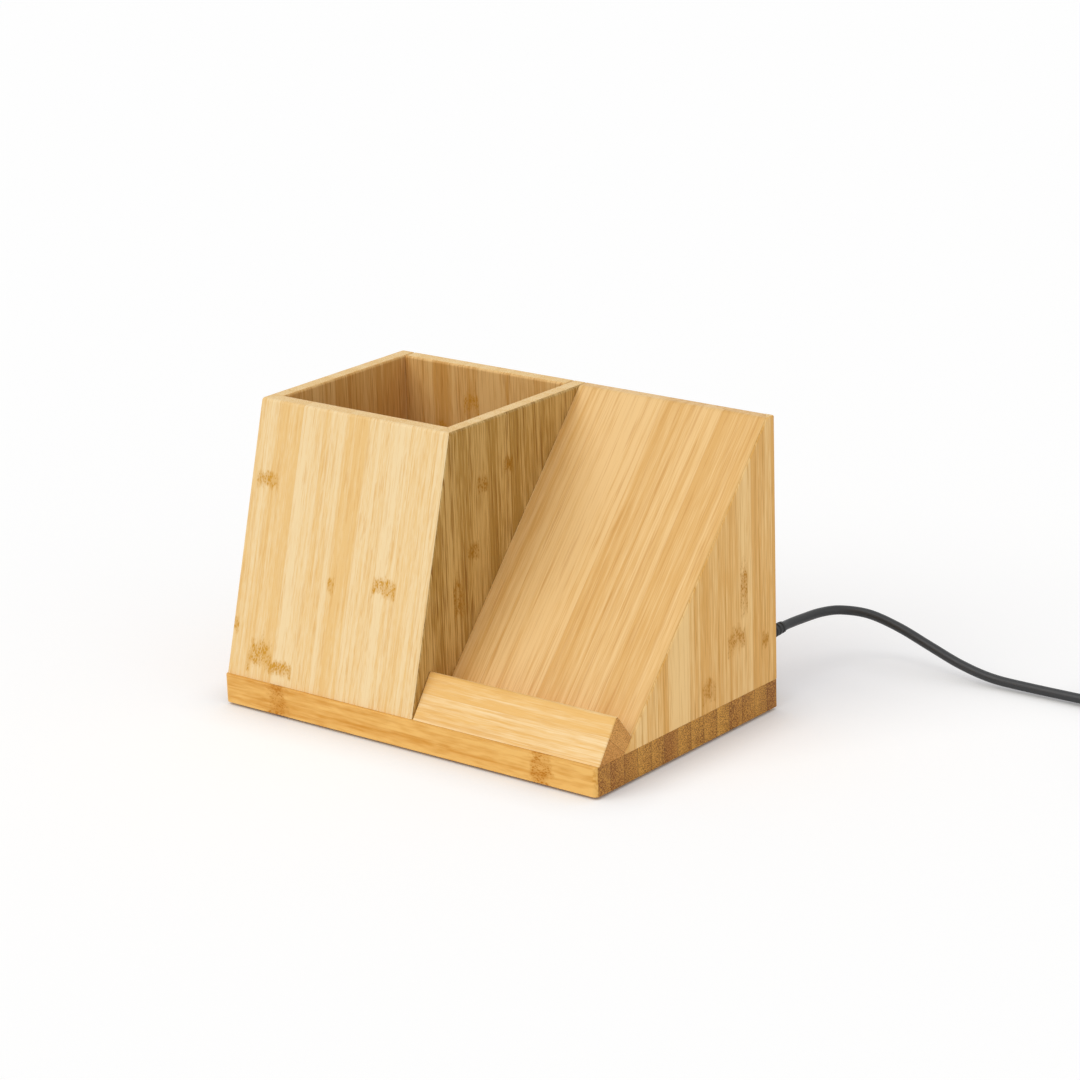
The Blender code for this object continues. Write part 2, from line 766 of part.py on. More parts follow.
def main_board(finish, frame):
    """The transmitter's circuit board."""
    front, back = main_board_front(), main_board_back()
    mesh = slab_mesh("main_board", MAIN_BOARD_WIDTH, MAIN_BOARD_HEIGHT, PCB_ROUND, back, front)
    board = add("main_board", mesh, finish, frame)
    for number, (x, y) in enumerate(board_screw_places()):
        radius = SCREW_RADIUS + SCREW_CLEARANCE
        mesh = disc_mesh("board_hole", radius, back - CUT_OVERRUN, front + CUT_OVERRUN, sides=12, middle=(x, y))
        cut(board, add(f"board_hole_{number}", mesh, None, frame), f"hole {number}")


def chip(name, size, middle, finish, frame):
    """A flat part soldered to the main board's back face."""
    width, height, thickness = size
    high = main_board_back() - GLUE_GAP
    low = (middle[0] - width / 2, middle[1] - height / 2, high - thickness)
    top = (middle[0] + width / 2, middle[1] + height / 2, high)
    thing = add(name, box_mesh(name, low, top, lambda p, q: min(p.z, q.z) < high - GLUE_GAP), finish, frame)
    soften(thing, PART_ROUND, 1)


def board_parts(black, tan, grey, frame):
    """The chips, the tuning capacitors and the inductor on the main board."""
    chip("controller_chip", CONTROLLER, (-MAIN_BOARD_WIDTH / 5, 0.0), black, frame)
    chip("bridge_chip", BRIDGE, (0.0, MAIN_BOARD_HEIGHT / 5), black, frame)
    for number in range(4):
        middle = ((number - 1.5) * CAPACITOR_PITCH, -MAIN_BOARD_HEIGHT / 3)
        chip(f"tuning_capacitor_{number + 1}", CAPACITOR, middle, tan, frame)
    low = main_board_back() - GLUE_GAP - INDUCTOR_HEIGHT
    mesh = disc_mesh("filter_inductor", INDUCTOR_RADIUS, low, low + INDUCTOR_HEIGHT, sides=20)
    inductor = add("filter_inductor", mesh, grey, frame)
    inductor.location = (MAIN_BOARD_WIDTH / 4, 0, 0)


def screw_mesh(name, length):
    """A pan head screw that points along +Z from under its head."""
    head, shank = SCREW_HEAD_RADIUS, SCREW_RADIUS
    profile = (
        (0.0, -SCREW_HEAD_HEIGHT),
        (head * 0.6, -SCREW_HEAD_HEIGHT),
        (head, -SCREW_HEAD_HEIGHT / 2),
        (head, 0.0),
        (shank, 0.0),
        (shank, length - SCREW_POINT),
        (0.0, length),
    )
    return turned_mesh(name, profile, sides=12)


def screws(finish, frame):
    """The screws of the tray, the main board and the socket board."""
    for number, (x, y) in enumerate(tray_screw_places()):
        screw = add(f"tray_screw_{number + 1}", screw_mesh("tray_screw", SCREW_LENGTH), finish, frame)
        screw.location = (x, y, tray_back() - GLUE_GAP)
    for number, (x, y) in enumerate(board_screw_places()):
        screw = add(f"board_screw_{number + 1}", screw_mesh("board_screw", BOARD_SCREW_LENGTH), finish, frame)
        screw.location = (x, y, main_board_back() - GLUE_GAP)
    for number, x in enumerate(socket_screw_places()):
        screw = add(f"socket_screw_{number + 1}", screw_mesh("socket_screw", SOCKET_SCREW_LENGTH), finish)
        screw.rotation_euler = (math.radians(180), 0, 0)
        screw.location = (x, socket_board_middle(), socket_screw_top())


def socket_bottom():
    """The height of the socket shell's underside."""
    return PORT_Z - SOCKET_HEIGHT / 2


def socket_board_top():
    """The height of the socket board's upper face."""
    return socket_bottom() - GLUE_GAP


def socket_board_middle():
    """The socket board's middle in depth."""
    return SOCKET_MOUTH - SOCKET_BOARD_DEPTH / 2


def socket_screw_places():
    """The socket board's two screws, one on each side of the socket."""
    reach = SOCKET_BOARD_WIDTH / 2 - SOCKET_SCREW_INSET
    return (PORT_X - reach, PORT_X + reach)


def socket_screw_top():
    """The height of the socket screws' heads' undersides."""
    return socket_board_top() + GLUE_GAP


def socket_holes(thing, low, high, name):
    """Cut the two screw holes through a piece of the socket's stack."""
    for number, x in enumerate(socket_screw_places()):
        radius = SCREW_RADIUS + SCREW_CLEARANCE
        mesh = disc_mesh(name, radius, low, high, sides=12, middle=(x, socket_board_middle()))
        cut(thing, add(f"{name}_{number}", mesh, None), f"hole {number}")


def socket_bracket(finish):
    """The moulded block that carries the socket board on the slab."""
    half = SOCKET_BOARD_WIDTH / 2
    high = socket_board_top() - SOCKET_BOARD_THICKNESS - GLUE_GAP
    low = (PORT_X - half, socket_board_middle() - SOCKET_BOARD_DEPTH / 2 + BRACKET_MARGIN, BOARD_FOOT)
    top = (PORT_X + half, SOCKET_MOUTH - BRACKET_MARGIN, high)
    bracket = add("socket_bracket", box_mesh("socket_bracket", low, top), finish)
    socket_holes(bracket, BOARD_FOOT - CUT_OVERRUN, high + CUT_OVERRUN, "bracket_hole")


def socket_board(finish):
    """The small board that the socket is soldered to."""
    high = socket_board_top()
    low = high - SOCKET_BOARD_THICKNESS
    mesh = slab_mesh("socket_board", SOCKET_BOARD_WIDTH, SOCKET_BOARD_DEPTH, PCB_ROUND / 2, low, high, steps=2)
    board = add("socket_board", mesh, finish)
    board.location = (PORT_X, socket_board_middle(), 0)
    socket_holes(board, low - CUT_OVERRUN, high + CUT_OVERRUN, "socket_board_hole")


def facing_back(thing, y, z=PORT_Z):
    """Turn a piece modelled along local Z so that it runs towards the back from a depth."""
    thing.rotation_euler = (math.radians(-90), 0, 0)
    thing.location = (PORT_X, y, z)


def hollow_shell(name, width, height, depth, wall, floor, finish):
    """A flat round-ended metal shell along +Z, open at its far end."""
    shell = add(name, slab_mesh(name, width, height, height / 2.2, 0.0, depth, steps=4), finish)
    room = (width - 2 * wall, height - 2 * wall)
    mesh = slab_mesh(f"{name}_room", *room, room[1] / 2.2, floor, depth + CUT_OVERRUN, steps=4)
    return shell, add(f"{name}_room", mesh, None)


def supply_socket(metal, plastic):
    """The socket's drawn shell and the tongue inside it."""
    shell, room = hollow_shell(
        "socket_shell", SOCKET_WIDTH, SOCKET_HEIGHT, SOCKET_DEPTH, SOCKET_WALL, SOCKET_BACK, metal
    )
    for thing in (shell, room):
        facing_back(thing, SOCKET_MOUTH - SOCKET_DEPTH)
    cut(shell, room, "room")
    low = SOCKET_BACK + GLUE_GAP
    mesh = box_mesh(
        "socket_tongue",
        (-TONGUE_WIDTH / 2, -TONGUE_THICKNESS / 2, low),
        (TONGUE_WIDTH / 2, TONGUE_THICKNESS / 2, low + TONGUE_DEPTH),
    )
    facing_back(add("socket_tongue", mesh, plastic), SOCKET_MOUTH - SOCKET_DEPTH)


def supply_leads(red, black, frame):
    """Two insulated wires from the socket board up to the main board."""
    bpy.context.view_layer.update()
    start_y = socket_board_middle() - SOCKET_BOARD_DEPTH / 2 + SUPPLY_LEAD
    start_z = socket_board_top() + GLUE_GAP
    pad_y = -MAIN_BOARD_HEIGHT / 2 + SUPPLY_LEAD
    for name, side, finish in (("supply_lead_red", -1, red), ("supply_lead_black", 1, black)):
        pad_x = MAIN_BOARD_WIDTH / 2 - SUPPLY_PAD_INSET + side * SUPPLY_LEAD_PITCH / 2
        end = frame.matrix_world @ Vector((pad_x, pad_y, main_board_back() - GLUE_GAP))
        off = frame.matrix_world @ Vector((pad_x, pad_y, main_board_back() - BOARD))
        start = Vector((PORT_X + side * SUPPLY_LEAD_PITCH / 2, start_y, start_z))
        rise = start + Vector((0, 0, BOARD))
        middle = (rise + off) / 2 - Vector((0, 0, BOARD / 3))
        points = smooth_route((start, rise, middle, off, end), SUPPLY_LEAD * 3)
        tube(name, points, SUPPLY_LEAD, finish)


def relief_mesh(name, length, root, tip, ribs):
    """A tapered relief along +Z with grooves between its ribs."""
    profile = [(root, 0.0)]
    pitch = length / (ribs + 1)
    for i in range(1, ribs + 1):
        for share, groove in ((-0.25, 0.0), (-0.15, RELIEF_GROOVE), (0.15, RELIEF_GROOVE), (0.25, 0.0)):
            height = pitch * (i + share)
            radius = root + (tip - root) * height / length
            profile.append((radius - groove, height))
    profile.append((tip, length))
    return turned_mesh(name, profile, sides=16)


def plug(metal, moulded):
    """The cable's plug in the socket: metal shell, moulded body and ribbed relief."""
    face = SOCKET_MOUTH + PLUG_SETBACK
    shell, room = hollow_shell(
        "plug_shell",
        PLUG_SHELL_WIDTH,
        PLUG_SHELL_HEIGHT,
        PLUG_SHELL_DEPTH,
        PLUG_SHELL_WALL,
        PLUG_SHELL_WALL * 2,
        metal,
    )
    for thing in (shell, room):
        thing.rotation_euler = (math.radians(90), 0, 0)
        thing.location = (PORT_X, face - GLUE_GAP, PORT_Z)
    cut(shell, room, "room")

    def rounded(p, q):
        return abs(p.z - q.z) < GLUE_GAP

    mesh = slab_mesh(
        "plug_body",
        PLUG_BODY_WIDTH,
        PLUG_BODY_HEIGHT,
        PLUG_BODY_HEIGHT / 2.4,
        0.0,
        PLUG_BODY_LENGTH,
        rounded,
    )
    body = add("plug_body", mesh, moulded)
    soften(body, PLUG_BODY_ROUND / 2)
    facing_back(body, face)
    mesh = relief_mesh("plug_relief", RELIEF_LENGTH, RELIEF_ROOT_RADIUS, RELIEF_TIP_RADIUS, RELIEF_RIBS)
    facing_back(add("plug_relief", mesh, moulded), face + PLUG_BODY_LENGTH + GLUE_GAP)
    return face + PLUG_BODY_LENGTH + GLUE_GAP + RELIEF_LENGTH


def loop_points():
    """The put-away loops: round and inwards on the floor, up a layer at the middle turn, and out again."""
    pitch = CORD_DIAMETER + LOOP_GAP
    outer = LOOP_DIAMETER / 2 + pitch * LOOPS / 4
    level = TIE_THICKNESS + GLUE_GAP + CORD_DIAMETER / 2
    points = []
    for i in range(LOOPS * LOOP_POINTS + 1):
        turn = i / LOOP_POINTS
        radius = outer - pitch * min(turn, LOOPS - turn)
        climbed = min(1.0, max(0.0, (turn - LOOPS / 2) * 2 + 0.5))
        angle = 2 * math.pi * (turn - 0.25)
        x = COIL_MIDDLE[0] + radius * math.cos(angle)
        y = COIL_MIDDLE[1] + radius * math.sin(angle)
        points.append(Vector((x, y, level + pitch * climbed * climbed * (3 - 2 * climbed))))
    straight = Vector((CORD_DIAMETER, 0, 0))
    return [points[0] - straight, *points, points[-1] + straight]


def shortened(points, start, end):
    """Pull a line's two ends in along it, to leave room for what it meets."""
    kept = [Vector(p) for p in points]
    kept[0] += (kept[1] - kept[0]).normalized() * start
    kept[-1] += (kept[-2] - kept[-1]).normalized() * end
    return kept


def cord(finish, tip):
    """The cord: its stretch from the relief, its put-away loops, and the stretch to the adapter plug."""
    loops = loop_points()
    start = Vector((PORT_X, tip, PORT_Z))
    lead = [start, start + Vector((0, CORD_DIAMETER, 0)), *LEAD_ROUTE, loops[0]]
    lead = shortened(smooth_route(lead, CORD_STEP), GLUE_GAP, GLUE_GAP)
    tail = shortened(smooth_route([loops[-1], *TAIL_ROUTE], CORD_STEP), GLUE_GAP, 0.0)
    tube("cord_lead", lead, CORD_DIAMETER, finish)
    tube("cord_coil", loops, CORD_DIAMETER, finish, resolution=1)
    tube("cord_tail", tail, CORD_DIAMETER, finish)
    gap = least_gap(loops, CORD_DIAMETER, LOOP_POINTS / 3)
    total = sum(route_length(points) for points in (lead, loops, tail))
    print(f"cord: {total:.3f} m, loops {route_length(loops):.3f} m, least gap in the loops {gap * 1000:.2f} mm")
    return tail[-1]


def cord_tie(finish):
    """A flat tie wrapped round the loops at the back of the coil."""
    behind = [p for p in loop_points() if abs(p.x - COIL_MIDDLE[0]) < CORD_DIAMETER and p.y > COIL_MIDDLE[1]]
    reach = CORD_DIAMETER / 2 + GLUE_GAP
    low = (min(p.y for p in behind) - reach, min(p.z for p in behind) - reach)
    high = (max(p.y for p in behind) + reach, max(p.z for p in behind) + reach)
    width, height = high[0] - low[0], high[1] - low[1]
    outer = (width + 2 * TIE_THICKNESS, height + 2 * TIE_THICKNESS)
    mesh = slab_mesh("cord_tie", *outer, CORD_DIAMETER / 2, -TIE_WIDTH / 2, TIE_WIDTH / 2)
    tie = add("cord_tie", mesh, finish)
    radius = CORD_DIAMETER / 2 - TIE_THICKNESS
    mesh = slab_mesh("tie_room", width, height, radius, -TIE_WIDTH, TIE_WIDTH)
    room = add("tie_room", mesh, None)
    for thing in (tie, room):
        thing.rotation_euler = (math.radians(90), 0, math.radians(90))
        thing.location = (COIL_MIDDLE[0], (low[0] + high[0]) / 2, (low[1] + high[1]) / 2)
    cut(tie, room, "room")


def adapter_plug(end, metal, plastic, moulded):
    """The plug at the cord's far end, lying on the floor and pointing to the front."""
    height = ADAPTER_BODY_HEIGHT / 2

    def place(thing, y):
        thing.rotation_euler = (math.radians(90), 0, 0)
        thing.location = (end.x, y, height)

    y = end.y - GLUE_GAP
    mesh = relief_mesh("adapter_relief", ADAPTER_RELIEF_LENGTH, RELIEF_TIP_RADIUS, RELIEF_ROOT_RADIUS, RELIEF_RIBS - 2)
    place(add("adapter_relief", mesh, moulded), y)
    y -= ADAPTER_RELIEF_LENGTH + GLUE_GAP

    def rounded(p, q):
        return abs(p.z - q.z) < GLUE_GAP

    mesh = slab_mesh(
        "adapter_body",
        ADAPTER_BODY_WIDTH,
        ADAPTER_BODY_HEIGHT,
        ADAPTER_BODY_HEIGHT / 3,
        0.0,
        ADAPTER_BODY_LENGTH,
        rounded,
    )
    body = add("adapter_body", mesh, moulded)
    soften(body, PLUG_BODY_ROUND / 2)
    place(body, y)
    y -= ADAPTER_BODY_LENGTH + GLUE_GAP
    shell, room = (
        add(name, box_mesh(name, low, high), finish)
        for name, low, high, finish in (
            (
                "adapter_shell",
                (-ADAPTER_SHELL_WIDTH / 2, -ADAPTER_SHELL_HEIGHT / 2, 0.0),
                (ADAPTER_SHELL_WIDTH / 2, ADAPTER_SHELL_HEIGHT / 2, ADAPTER_SHELL_LENGTH),
                metal,
            ),
            (
                "adapter_shell_room",
                (
                    ADAPTER_SHELL_WALL - ADAPTER_SHELL_WIDTH / 2,
                    ADAPTER_SHELL_WALL - ADAPTER_SHELL_HEIGHT / 2,
                    ADAPTER_SHELL_WALL,
                ),
                (
                    ADAPTER_SHELL_WIDTH / 2 - ADAPTER_SHELL_WALL,
                    ADAPTER_SHELL_HEIGHT / 2 - ADAPTER_SHELL_WALL,
                    ADAPTER_SHELL_LENGTH + CUT_OVERRUN,
                ),
                None,
            ),
        )
    )
    place(shell, y)
    place(room, y)
    cut(shell, room, "room")
    reach = ADAPTER_SHELL_WIDTH / 2 - ADAPTER_SHELL_WALL - GLUE_GAP
    low = GLUE_GAP + ADAPTER_SHELL_WALL - ADAPTER_SHELL_HEIGHT / 2
    mesh = box_mesh(
        "adapter_tongue",
        (-reach, low, ADAPTER_SHELL_WALL + GLUE_GAP),
        (reach, low + ADAPTER_TONGUE_HEIGHT, ADAPTER_SHELL_LENGTH - ADAPTER_TONGUE_SETBACK),
    )
    place(add("adapter_tongue", mesh, plastic), y)


def build():
    """Make every piece with its finish."""
    clear_scene()
    slab = material("slab_bamboo", (0.62, 0.36, 0.13), 0.5)
    front = material("cup_front_bamboo", (0.80, 0.58, 0.31), 0.5)
    upright = material("side_bamboo", (0.72, 0.48, 0.22), 0.5)
    sloped = material("panel_bamboo", (0.74, 0.50, 0.24), 0.5)
    bar = material("bar_bamboo", (0.80, 0.55, 0.26), 0.48)
    pad = material("foot_rubber", (0.035, 0.035, 0.035), 0.85)
    tray = material("tray_plastic", (0.05, 0.05, 0.055), 0.55)
    ferrite = material("ferrite", (0.09, 0.09, 0.10), 0.7)
    copper = material("wound_copper", (0.72, 0.33, 0.12), 0.35, 0.9)
    board = material("circuit_board", (0.02, 0.16, 0.06), 0.4)
    black = material("chip_black", (0.02, 0.02, 0.02), 0.5)
    tan = material("capacitor_tan", (0.45, 0.30, 0.16), 0.45)
    grey = material("inductor_grey", (0.12, 0.12, 0.13), 0.6)
    steel = material("screw_steel", (0.60, 0.60, 0.62), 0.3, 1.0)
    nickel = material("shell_nickel", (0.70, 0.70, 0.72), 0.25, 1.0)
    tongue = material("tongue_black", (0.03, 0.03, 0.03), 0.5)
    white = material("adapter_tongue_white", (0.80, 0.80, 0.80), 0.45)
    moulded = material("moulded_black", (0.02, 0.02, 0.02), 0.45)
    sheath = material("cord_black", (0.02, 0.02, 0.022), 0.4)
    tie = material("tie_black", (0.03, 0.03, 0.03), 0.6)
    red = material("lead_red", (0.5, 0.02, 0.02), 0.4)
    lead_black = material("lead_black", (0.02, 0.02, 0.02), 0.4)

    base_slab(slab)
    feet(pad)
    cup_front_wall(front)
    cup_side("cup_left_wall", LEFT, LEFT + BOARD, upright)
    cup_side("divider_wall", CUP_RIGHT, CUP_RIGHT - BOARD, upright)
    cup_back_wall(upright)
    frame = slope_frame()
    charging_panel(sloped, frame)
    stand_cheek(upright)
    stand_back_panel(upright)
    phone_rest_bar(bar)
    charging_coil(copper, frame)
    ferrite_sheet(ferrite, frame)
    coil_tray(tray, frame)
    main_board(board, frame)
    board_parts(black, tan, grey, frame)
    screws(steel, frame)
    socket_bracket(tray)
    socket_board(board)
    supply_socket(nickel, tongue)
    supply_leads(red, lead_black, frame)
    tip = plug(nickel, moulded)
    end = cord(sheath, tip)
    cord_tie(tie)
    adapter_plug(end, nickel, white, moulded)


build()
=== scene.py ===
"""Desk organiser of laminated bamboo, with a pen cup and a sloped wireless charging stand on one slab."""

import math

import bmesh
import bpy
from mathutils import Matrix, Vector


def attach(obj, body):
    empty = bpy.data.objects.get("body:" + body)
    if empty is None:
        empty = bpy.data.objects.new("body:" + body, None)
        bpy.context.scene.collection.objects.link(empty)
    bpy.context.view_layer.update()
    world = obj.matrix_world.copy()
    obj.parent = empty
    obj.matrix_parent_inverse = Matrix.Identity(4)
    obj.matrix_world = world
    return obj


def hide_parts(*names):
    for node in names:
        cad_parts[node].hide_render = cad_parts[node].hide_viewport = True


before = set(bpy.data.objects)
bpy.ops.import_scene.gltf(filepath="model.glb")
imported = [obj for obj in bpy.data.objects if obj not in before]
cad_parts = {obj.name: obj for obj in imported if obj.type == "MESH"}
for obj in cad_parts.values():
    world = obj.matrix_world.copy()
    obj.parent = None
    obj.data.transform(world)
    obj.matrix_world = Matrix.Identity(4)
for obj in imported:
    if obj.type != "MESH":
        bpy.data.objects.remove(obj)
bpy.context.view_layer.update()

# The table and the light: a pale table top in a white room, a large soft lamp at the upper left in front and
# a weak one at the right. The camera stands to the right of the organiser, a little above it.
TABLE_HALF = 6.0
TABLE_COLOUR = (0.90, 0.90, 0.90, 1.0)
TABLE_SHADE = (0.735, 0.725, 0.675, 1.0)
TABLE_WHITE = (0.3235, 0.3325, 0.3775, 1.0)
CONTACT_SHADE = 0.020
AMBIENT = 0.60
KEY_LAMP = ((-0.55, -1.35, 1.50), 1.22, 50.0)
FILL_LAMP = ((0.85, -0.35, 0.30), 0.28, 70.0)
CAMERA_PLACE = Vector((0.76218, -0.92340, 0.44393))
CAMERA_AZIMUTH = -0.6816
CAMERA_DIP = 0.3090
CAMERA_ROLL = -0.0332
CAMERA_LENS = 119.11
CAMERA_SHIFT = 0.01528


def add_node(tree, kind, *values, **settings):
    """Add a node. Its values are numbers, colours or sockets, in the order of its inputs."""
    made = tree.nodes.new(kind)
    for name, value in settings.items():
        setattr(made, name, value)
    for socket, value in zip(made.inputs, values):
        if isinstance(value, bpy.types.NodeSocket):
            tree.links.new(value, socket)
        elif value is not None:
            socket.default_value = value
    return made


def calc(tree, operation, *values):
    """The result of a Math node."""
    return add_node(tree, "ShaderNodeMath", *values, operation=operation).outputs[0]


def blend(tree, factor, first, second, how="MIX"):
    """A mix of two colours."""
    made = tree.nodes.new("ShaderNodeMix")
    made.data_type = "RGBA"
    made.blend_type = how
    for socket, value in zip((made.inputs[0], made.inputs[6], made.inputs[7]), (factor, first, second)):
        if isinstance(value, bpy.types.NodeSocket):
            tree.links.new(value, socket)
        else:
            socket.default_value = value
    return made.outputs[2]


def new_material(name):
    """A material with a Principled shader, and its tree and that shader."""
    made = bpy.data.materials.new(f"{name}_finish")
    made.use_nodes = True
    return made, made.node_tree, made.node_tree.nodes["Principled BSDF"]


def aim_camera():
    """Place the camera with the photograph's viewing angle and framing."""
    view = Vector(
        (
            math.sin(CAMERA_AZIMUTH) * math.cos(CAMERA_DIP),
            math.cos(CAMERA_AZIMUTH) * math.cos(CAMERA_DIP),
            -math.sin(CAMERA_DIP),
        )
    )
    flat = view.cross(Vector((0, 0, 1))).normalized()
    up = flat.cross(view)
    right = flat * math.cos(CAMERA_ROLL) + up * math.sin(CAMERA_ROLL)
    top = up * math.cos(CAMERA_ROLL) - flat * math.sin(CAMERA_ROLL)
    data = bpy.data.cameras.new("camera")
    data.lens = CAMERA_LENS
    data.sensor_width = 36.0
    data.shift_x = CAMERA_SHIFT
    data.clip_start = 0.01
    data.clip_end = 50.0
    camera = bpy.data.objects.new("camera", data)
    bpy.context.collection.objects.link(camera)
    turn = Matrix((right, top, -view)).transposed()
    camera.matrix_world = Matrix.Translation(CAMERA_PLACE) @ turn.to_4x4()
    bpy.context.scene.camera = camera


def soft_lamp(name, direction, strength, width):
    """A broad, far lamp that shines from a direction, its width in degrees."""
    data = bpy.data.lights.new(name, "SUN")
    data.energy = strength
    data.angle = math.radians(width)
    lamp = bpy.data.objects.new(name, data)
    bpy.context.collection.objects.link(lamp)
    lamp.rotation_euler = (-Vector(direction)).to_track_quat("-Z", "Y").to_euler()


def seen_directly(tree):
    """One for what the camera sees, also in gloss and through clear things, and nought for other light."""
    path = tree.nodes.new("ShaderNodeLightPath").outputs
    seen = calc(tree, "MAXIMUM", path["Is Camera Ray"], path["Is Glossy Ray"])
    return calc(tree, "MAXIMUM", seen, path["Is Transmission Ray"])


def light_room():
    """A white room: what the camera and gloss see of it is white, and the rest of its light is softer."""
    world = bpy.data.worlds.new("room")
    world.use_nodes = True
    bpy.context.scene.world = world
    tree = world.node_tree
    back = tree.nodes["Background"]
    back.inputs["Color"].default_value = (1.0, 1.0, 1.0, 1.0)
    strength = calc(tree, "MULTIPLY_ADD", seen_directly(tree), 1.0 - AMBIENT, AMBIENT)
    tree.links.new(strength, back.inputs["Strength"])


def lay_table():
    """The table top. It is seen as white that keeps a soft shadow, and it gives back plain pale light.

    Its white fades where a thing stands close on it, a painted contact shadow that keeps the gap under the
    thing dark.
    """
    shape = bmesh.new()
    bmesh.ops.create_grid(shape, x_segments=1, y_segments=1, size=TABLE_HALF)
    mesh = bpy.data.meshes.new("table_top")
    shape.to_mesh(mesh)
    shape.free()
    table = bpy.data.objects.new("table_top", mesh)
    bpy.context.collection.objects.link(table)
    finish, tree, shader = new_material("table_white")
    seen = seen_directly(tree)
    tree.links.new(blend(tree, seen, TABLE_COLOUR, TABLE_SHADE), shader.inputs["Base Color"])
    # The emitted white is cut where little open sky is seen: painted contact shadow.
    open_sky = add_node(tree, "ShaderNodeAmbientOcclusion", samples=6)
    open_sky.inputs["Distance"].default_value = CONTACT_SHADE
    tree.links.new(calc(tree, "MULTIPLY", seen, open_sky.outputs["AO"]), shader.inputs["Emission Strength"])
    shader.inputs["Emission Color"].default_value = TABLE_WHITE
    shader.inputs["Roughness"].default_value = 1.0
    shader.inputs["Specular IOR Level"].default_value = 0.0
    mesh.materials.append(finish)


aim_camera()
light_room()
lay_table()
soft_lamp("key_lamp", *KEY_LAMP)
soft_lamp("fill_lamp", *FILL_LAMP)
bpy.context.scene.view_settings.view_transform = "Standard"

# The bamboo: strips of the cane's wall glued side by side, sanded and lacquered to a satin. Each strip has
# its own tone, fine fibre streaks along it and a mottled band where the cane had a joint. Cut ends show the
# fibres as dots.
STREAK = (0.66, 0.34, 0.08, 1.0)
KNOT = (0.56, 0.245, 0.010, 1.0)
STRIP_SHIFT, LANE_STEP = 0.9, 7.31
JOINT_BOW, JOINT_RIPPLE = 0.016, 0.010
JOINT_CORE, JOINT_EDGE = 0.0010, 0.0052
SEAM = (0.00004, 0.00022, 0.22)
END_SEAM = (0.00005, 0.00030, 0.55)

# How many waves each pattern has in a metre: across the strips, along the fibres and through the board.
CLOUDS = (130.0, 2.2, 1.0)
BANDS = (420.0, 7.0, 1.0)
DASHES = (1150.0, 95.0, 1.0)
HAIRS = (2500.0, 60.0, 1.0)
FIBRES = (2100.0, 330.0, 1.0)
RIPPLES = (900.0, 260.0, 1.0)
MARK_RIPPLES = (700.0, 240.0, 300.0)
FLECK_CELLS = (1900.0, 950.0, 1900.0)
FLECK_CLOUDS = (420.0, 240.0, 420.0)
END_CLOUDS = (420.0, 3.1, 260.0)
END_DOTS = (1950.0, 3.7, 1950.0)
END_DUST = (2400.0, 5.3, 2400.0)


def node_group(name, values, outputs=("Color", "Roughness", "Height")):
    """A shader node group and its input sockets. A place and named values go in, and the outputs come out."""
    tree = bpy.data.node_groups.new(name, "ShaderNodeTree")
    tree.interface.new_socket("Place", in_out="INPUT", socket_type="NodeSocketVector")
    for key, value in values.items():
        kind = "NodeSocketColor" if isinstance(value, tuple) else "NodeSocketFloat"
        tree.interface.new_socket(key, in_out="INPUT", socket_type=kind).default_value = value
    for key in outputs:
        kind = "NodeSocketColor" if key == "Color" else "NodeSocketFloat"
        tree.interface.new_socket(key, in_out="OUTPUT", socket_type=kind)
    return tree, tree.nodes.new("NodeGroupInput").outputs


def axes(tree, vector):
    """The three parts of a vector."""
    return add_node(tree, "ShaderNodeSeparateXYZ", vector).outputs


def sway(tree, base, wave, strength):
    """A value moved down and up by a wave that runs from 0 to 1."""
    return calc(tree, "MULTIPLY_ADD", calc(tree, "SUBTRACT", wave, 0.5), strength, base)


def clamped(tree, value, low=0.0, high=1.0):
    """A value kept within two limits."""
    return add_node(tree, "ShaderNodeClamp", value, low, high).outputs[0]


def spread(tree, value, low, high, to_low=0.0, to_high=1.0):
    """A value's smooth way from one range to another."""
    made = add_node(tree, "ShaderNodeMapRange", value, low, high, to_low, to_high)
    made.interpolation_type = "SMOOTHSTEP"
    return made.outputs[0]


def scaled(tree, x, y, z, by):
    """A vector from three sockets, each times its own scale."""
    parts = [calc(tree, "MULTIPLY", value, scale) for value, scale in zip((x, y, z), by)]
    return add_node(tree, "ShaderNodeCombineXYZ", *parts).outputs[0]


def noise(tree, place, detail=2.0, rough=0.5):
    """The value of a noise over a place that is already scaled."""
    return add_node(tree, "ShaderNodeTexNoise", place, None, 1.0, detail, rough).outputs[0]


def flecks(tree, x, y, z):
    """The short brown fibre ends that crowd in a joint of the cane, over a faint tint."""
    cells = add_node(tree, "ShaderNodeTexVoronoi", scaled(tree, x, y, z, FLECK_CELLS), None, 1.0)
    dense = noise(tree, scaled(tree, x, y, z, FLECK_CLOUDS), 2.0)
    size = calc(tree, "MULTIPLY_ADD", dense, 1.0, -0.22)
    dashes = spread(tree, calc(tree, "SUBTRACT", cells.outputs["Distance"], size), 0.0, 0.28, 1.0, 0.0)
    return calc(tree, "MULTIPLY_ADD", dashes, 0.55, calc(tree, "MULTIPLY", dense, 0.85))


def strip_at(tree, x, given, set_number):
    """The strip at a place, how far across it the place is, and the strip's own random values."""
    shifted = calc(tree, "ADD", calc(tree, "DIVIDE", x, given["Strip Width"]), given["Seed"])
    strip = calc(tree, "FLOOR", shifted)
    across = calc(tree, "FRACT", shifted)
    key = add_node(tree, "ShaderNodeCombineXYZ", strip, given["Seed"], set_number).outputs[0]
    random = add_node(tree, "ShaderNodeTexWhiteNoise", key).outputs
    parts = add_node(tree, "ShaderNodeSeparateColor", random["Color"]).outputs
    return strip, across, random["Value"], parts


def nearer_end(tree, share):
    """How far a share of a way is from the nearer of its ends."""
    return calc(tree, "MINIMUM", share, calc(tree, "SUBTRACT", 1.0, share))


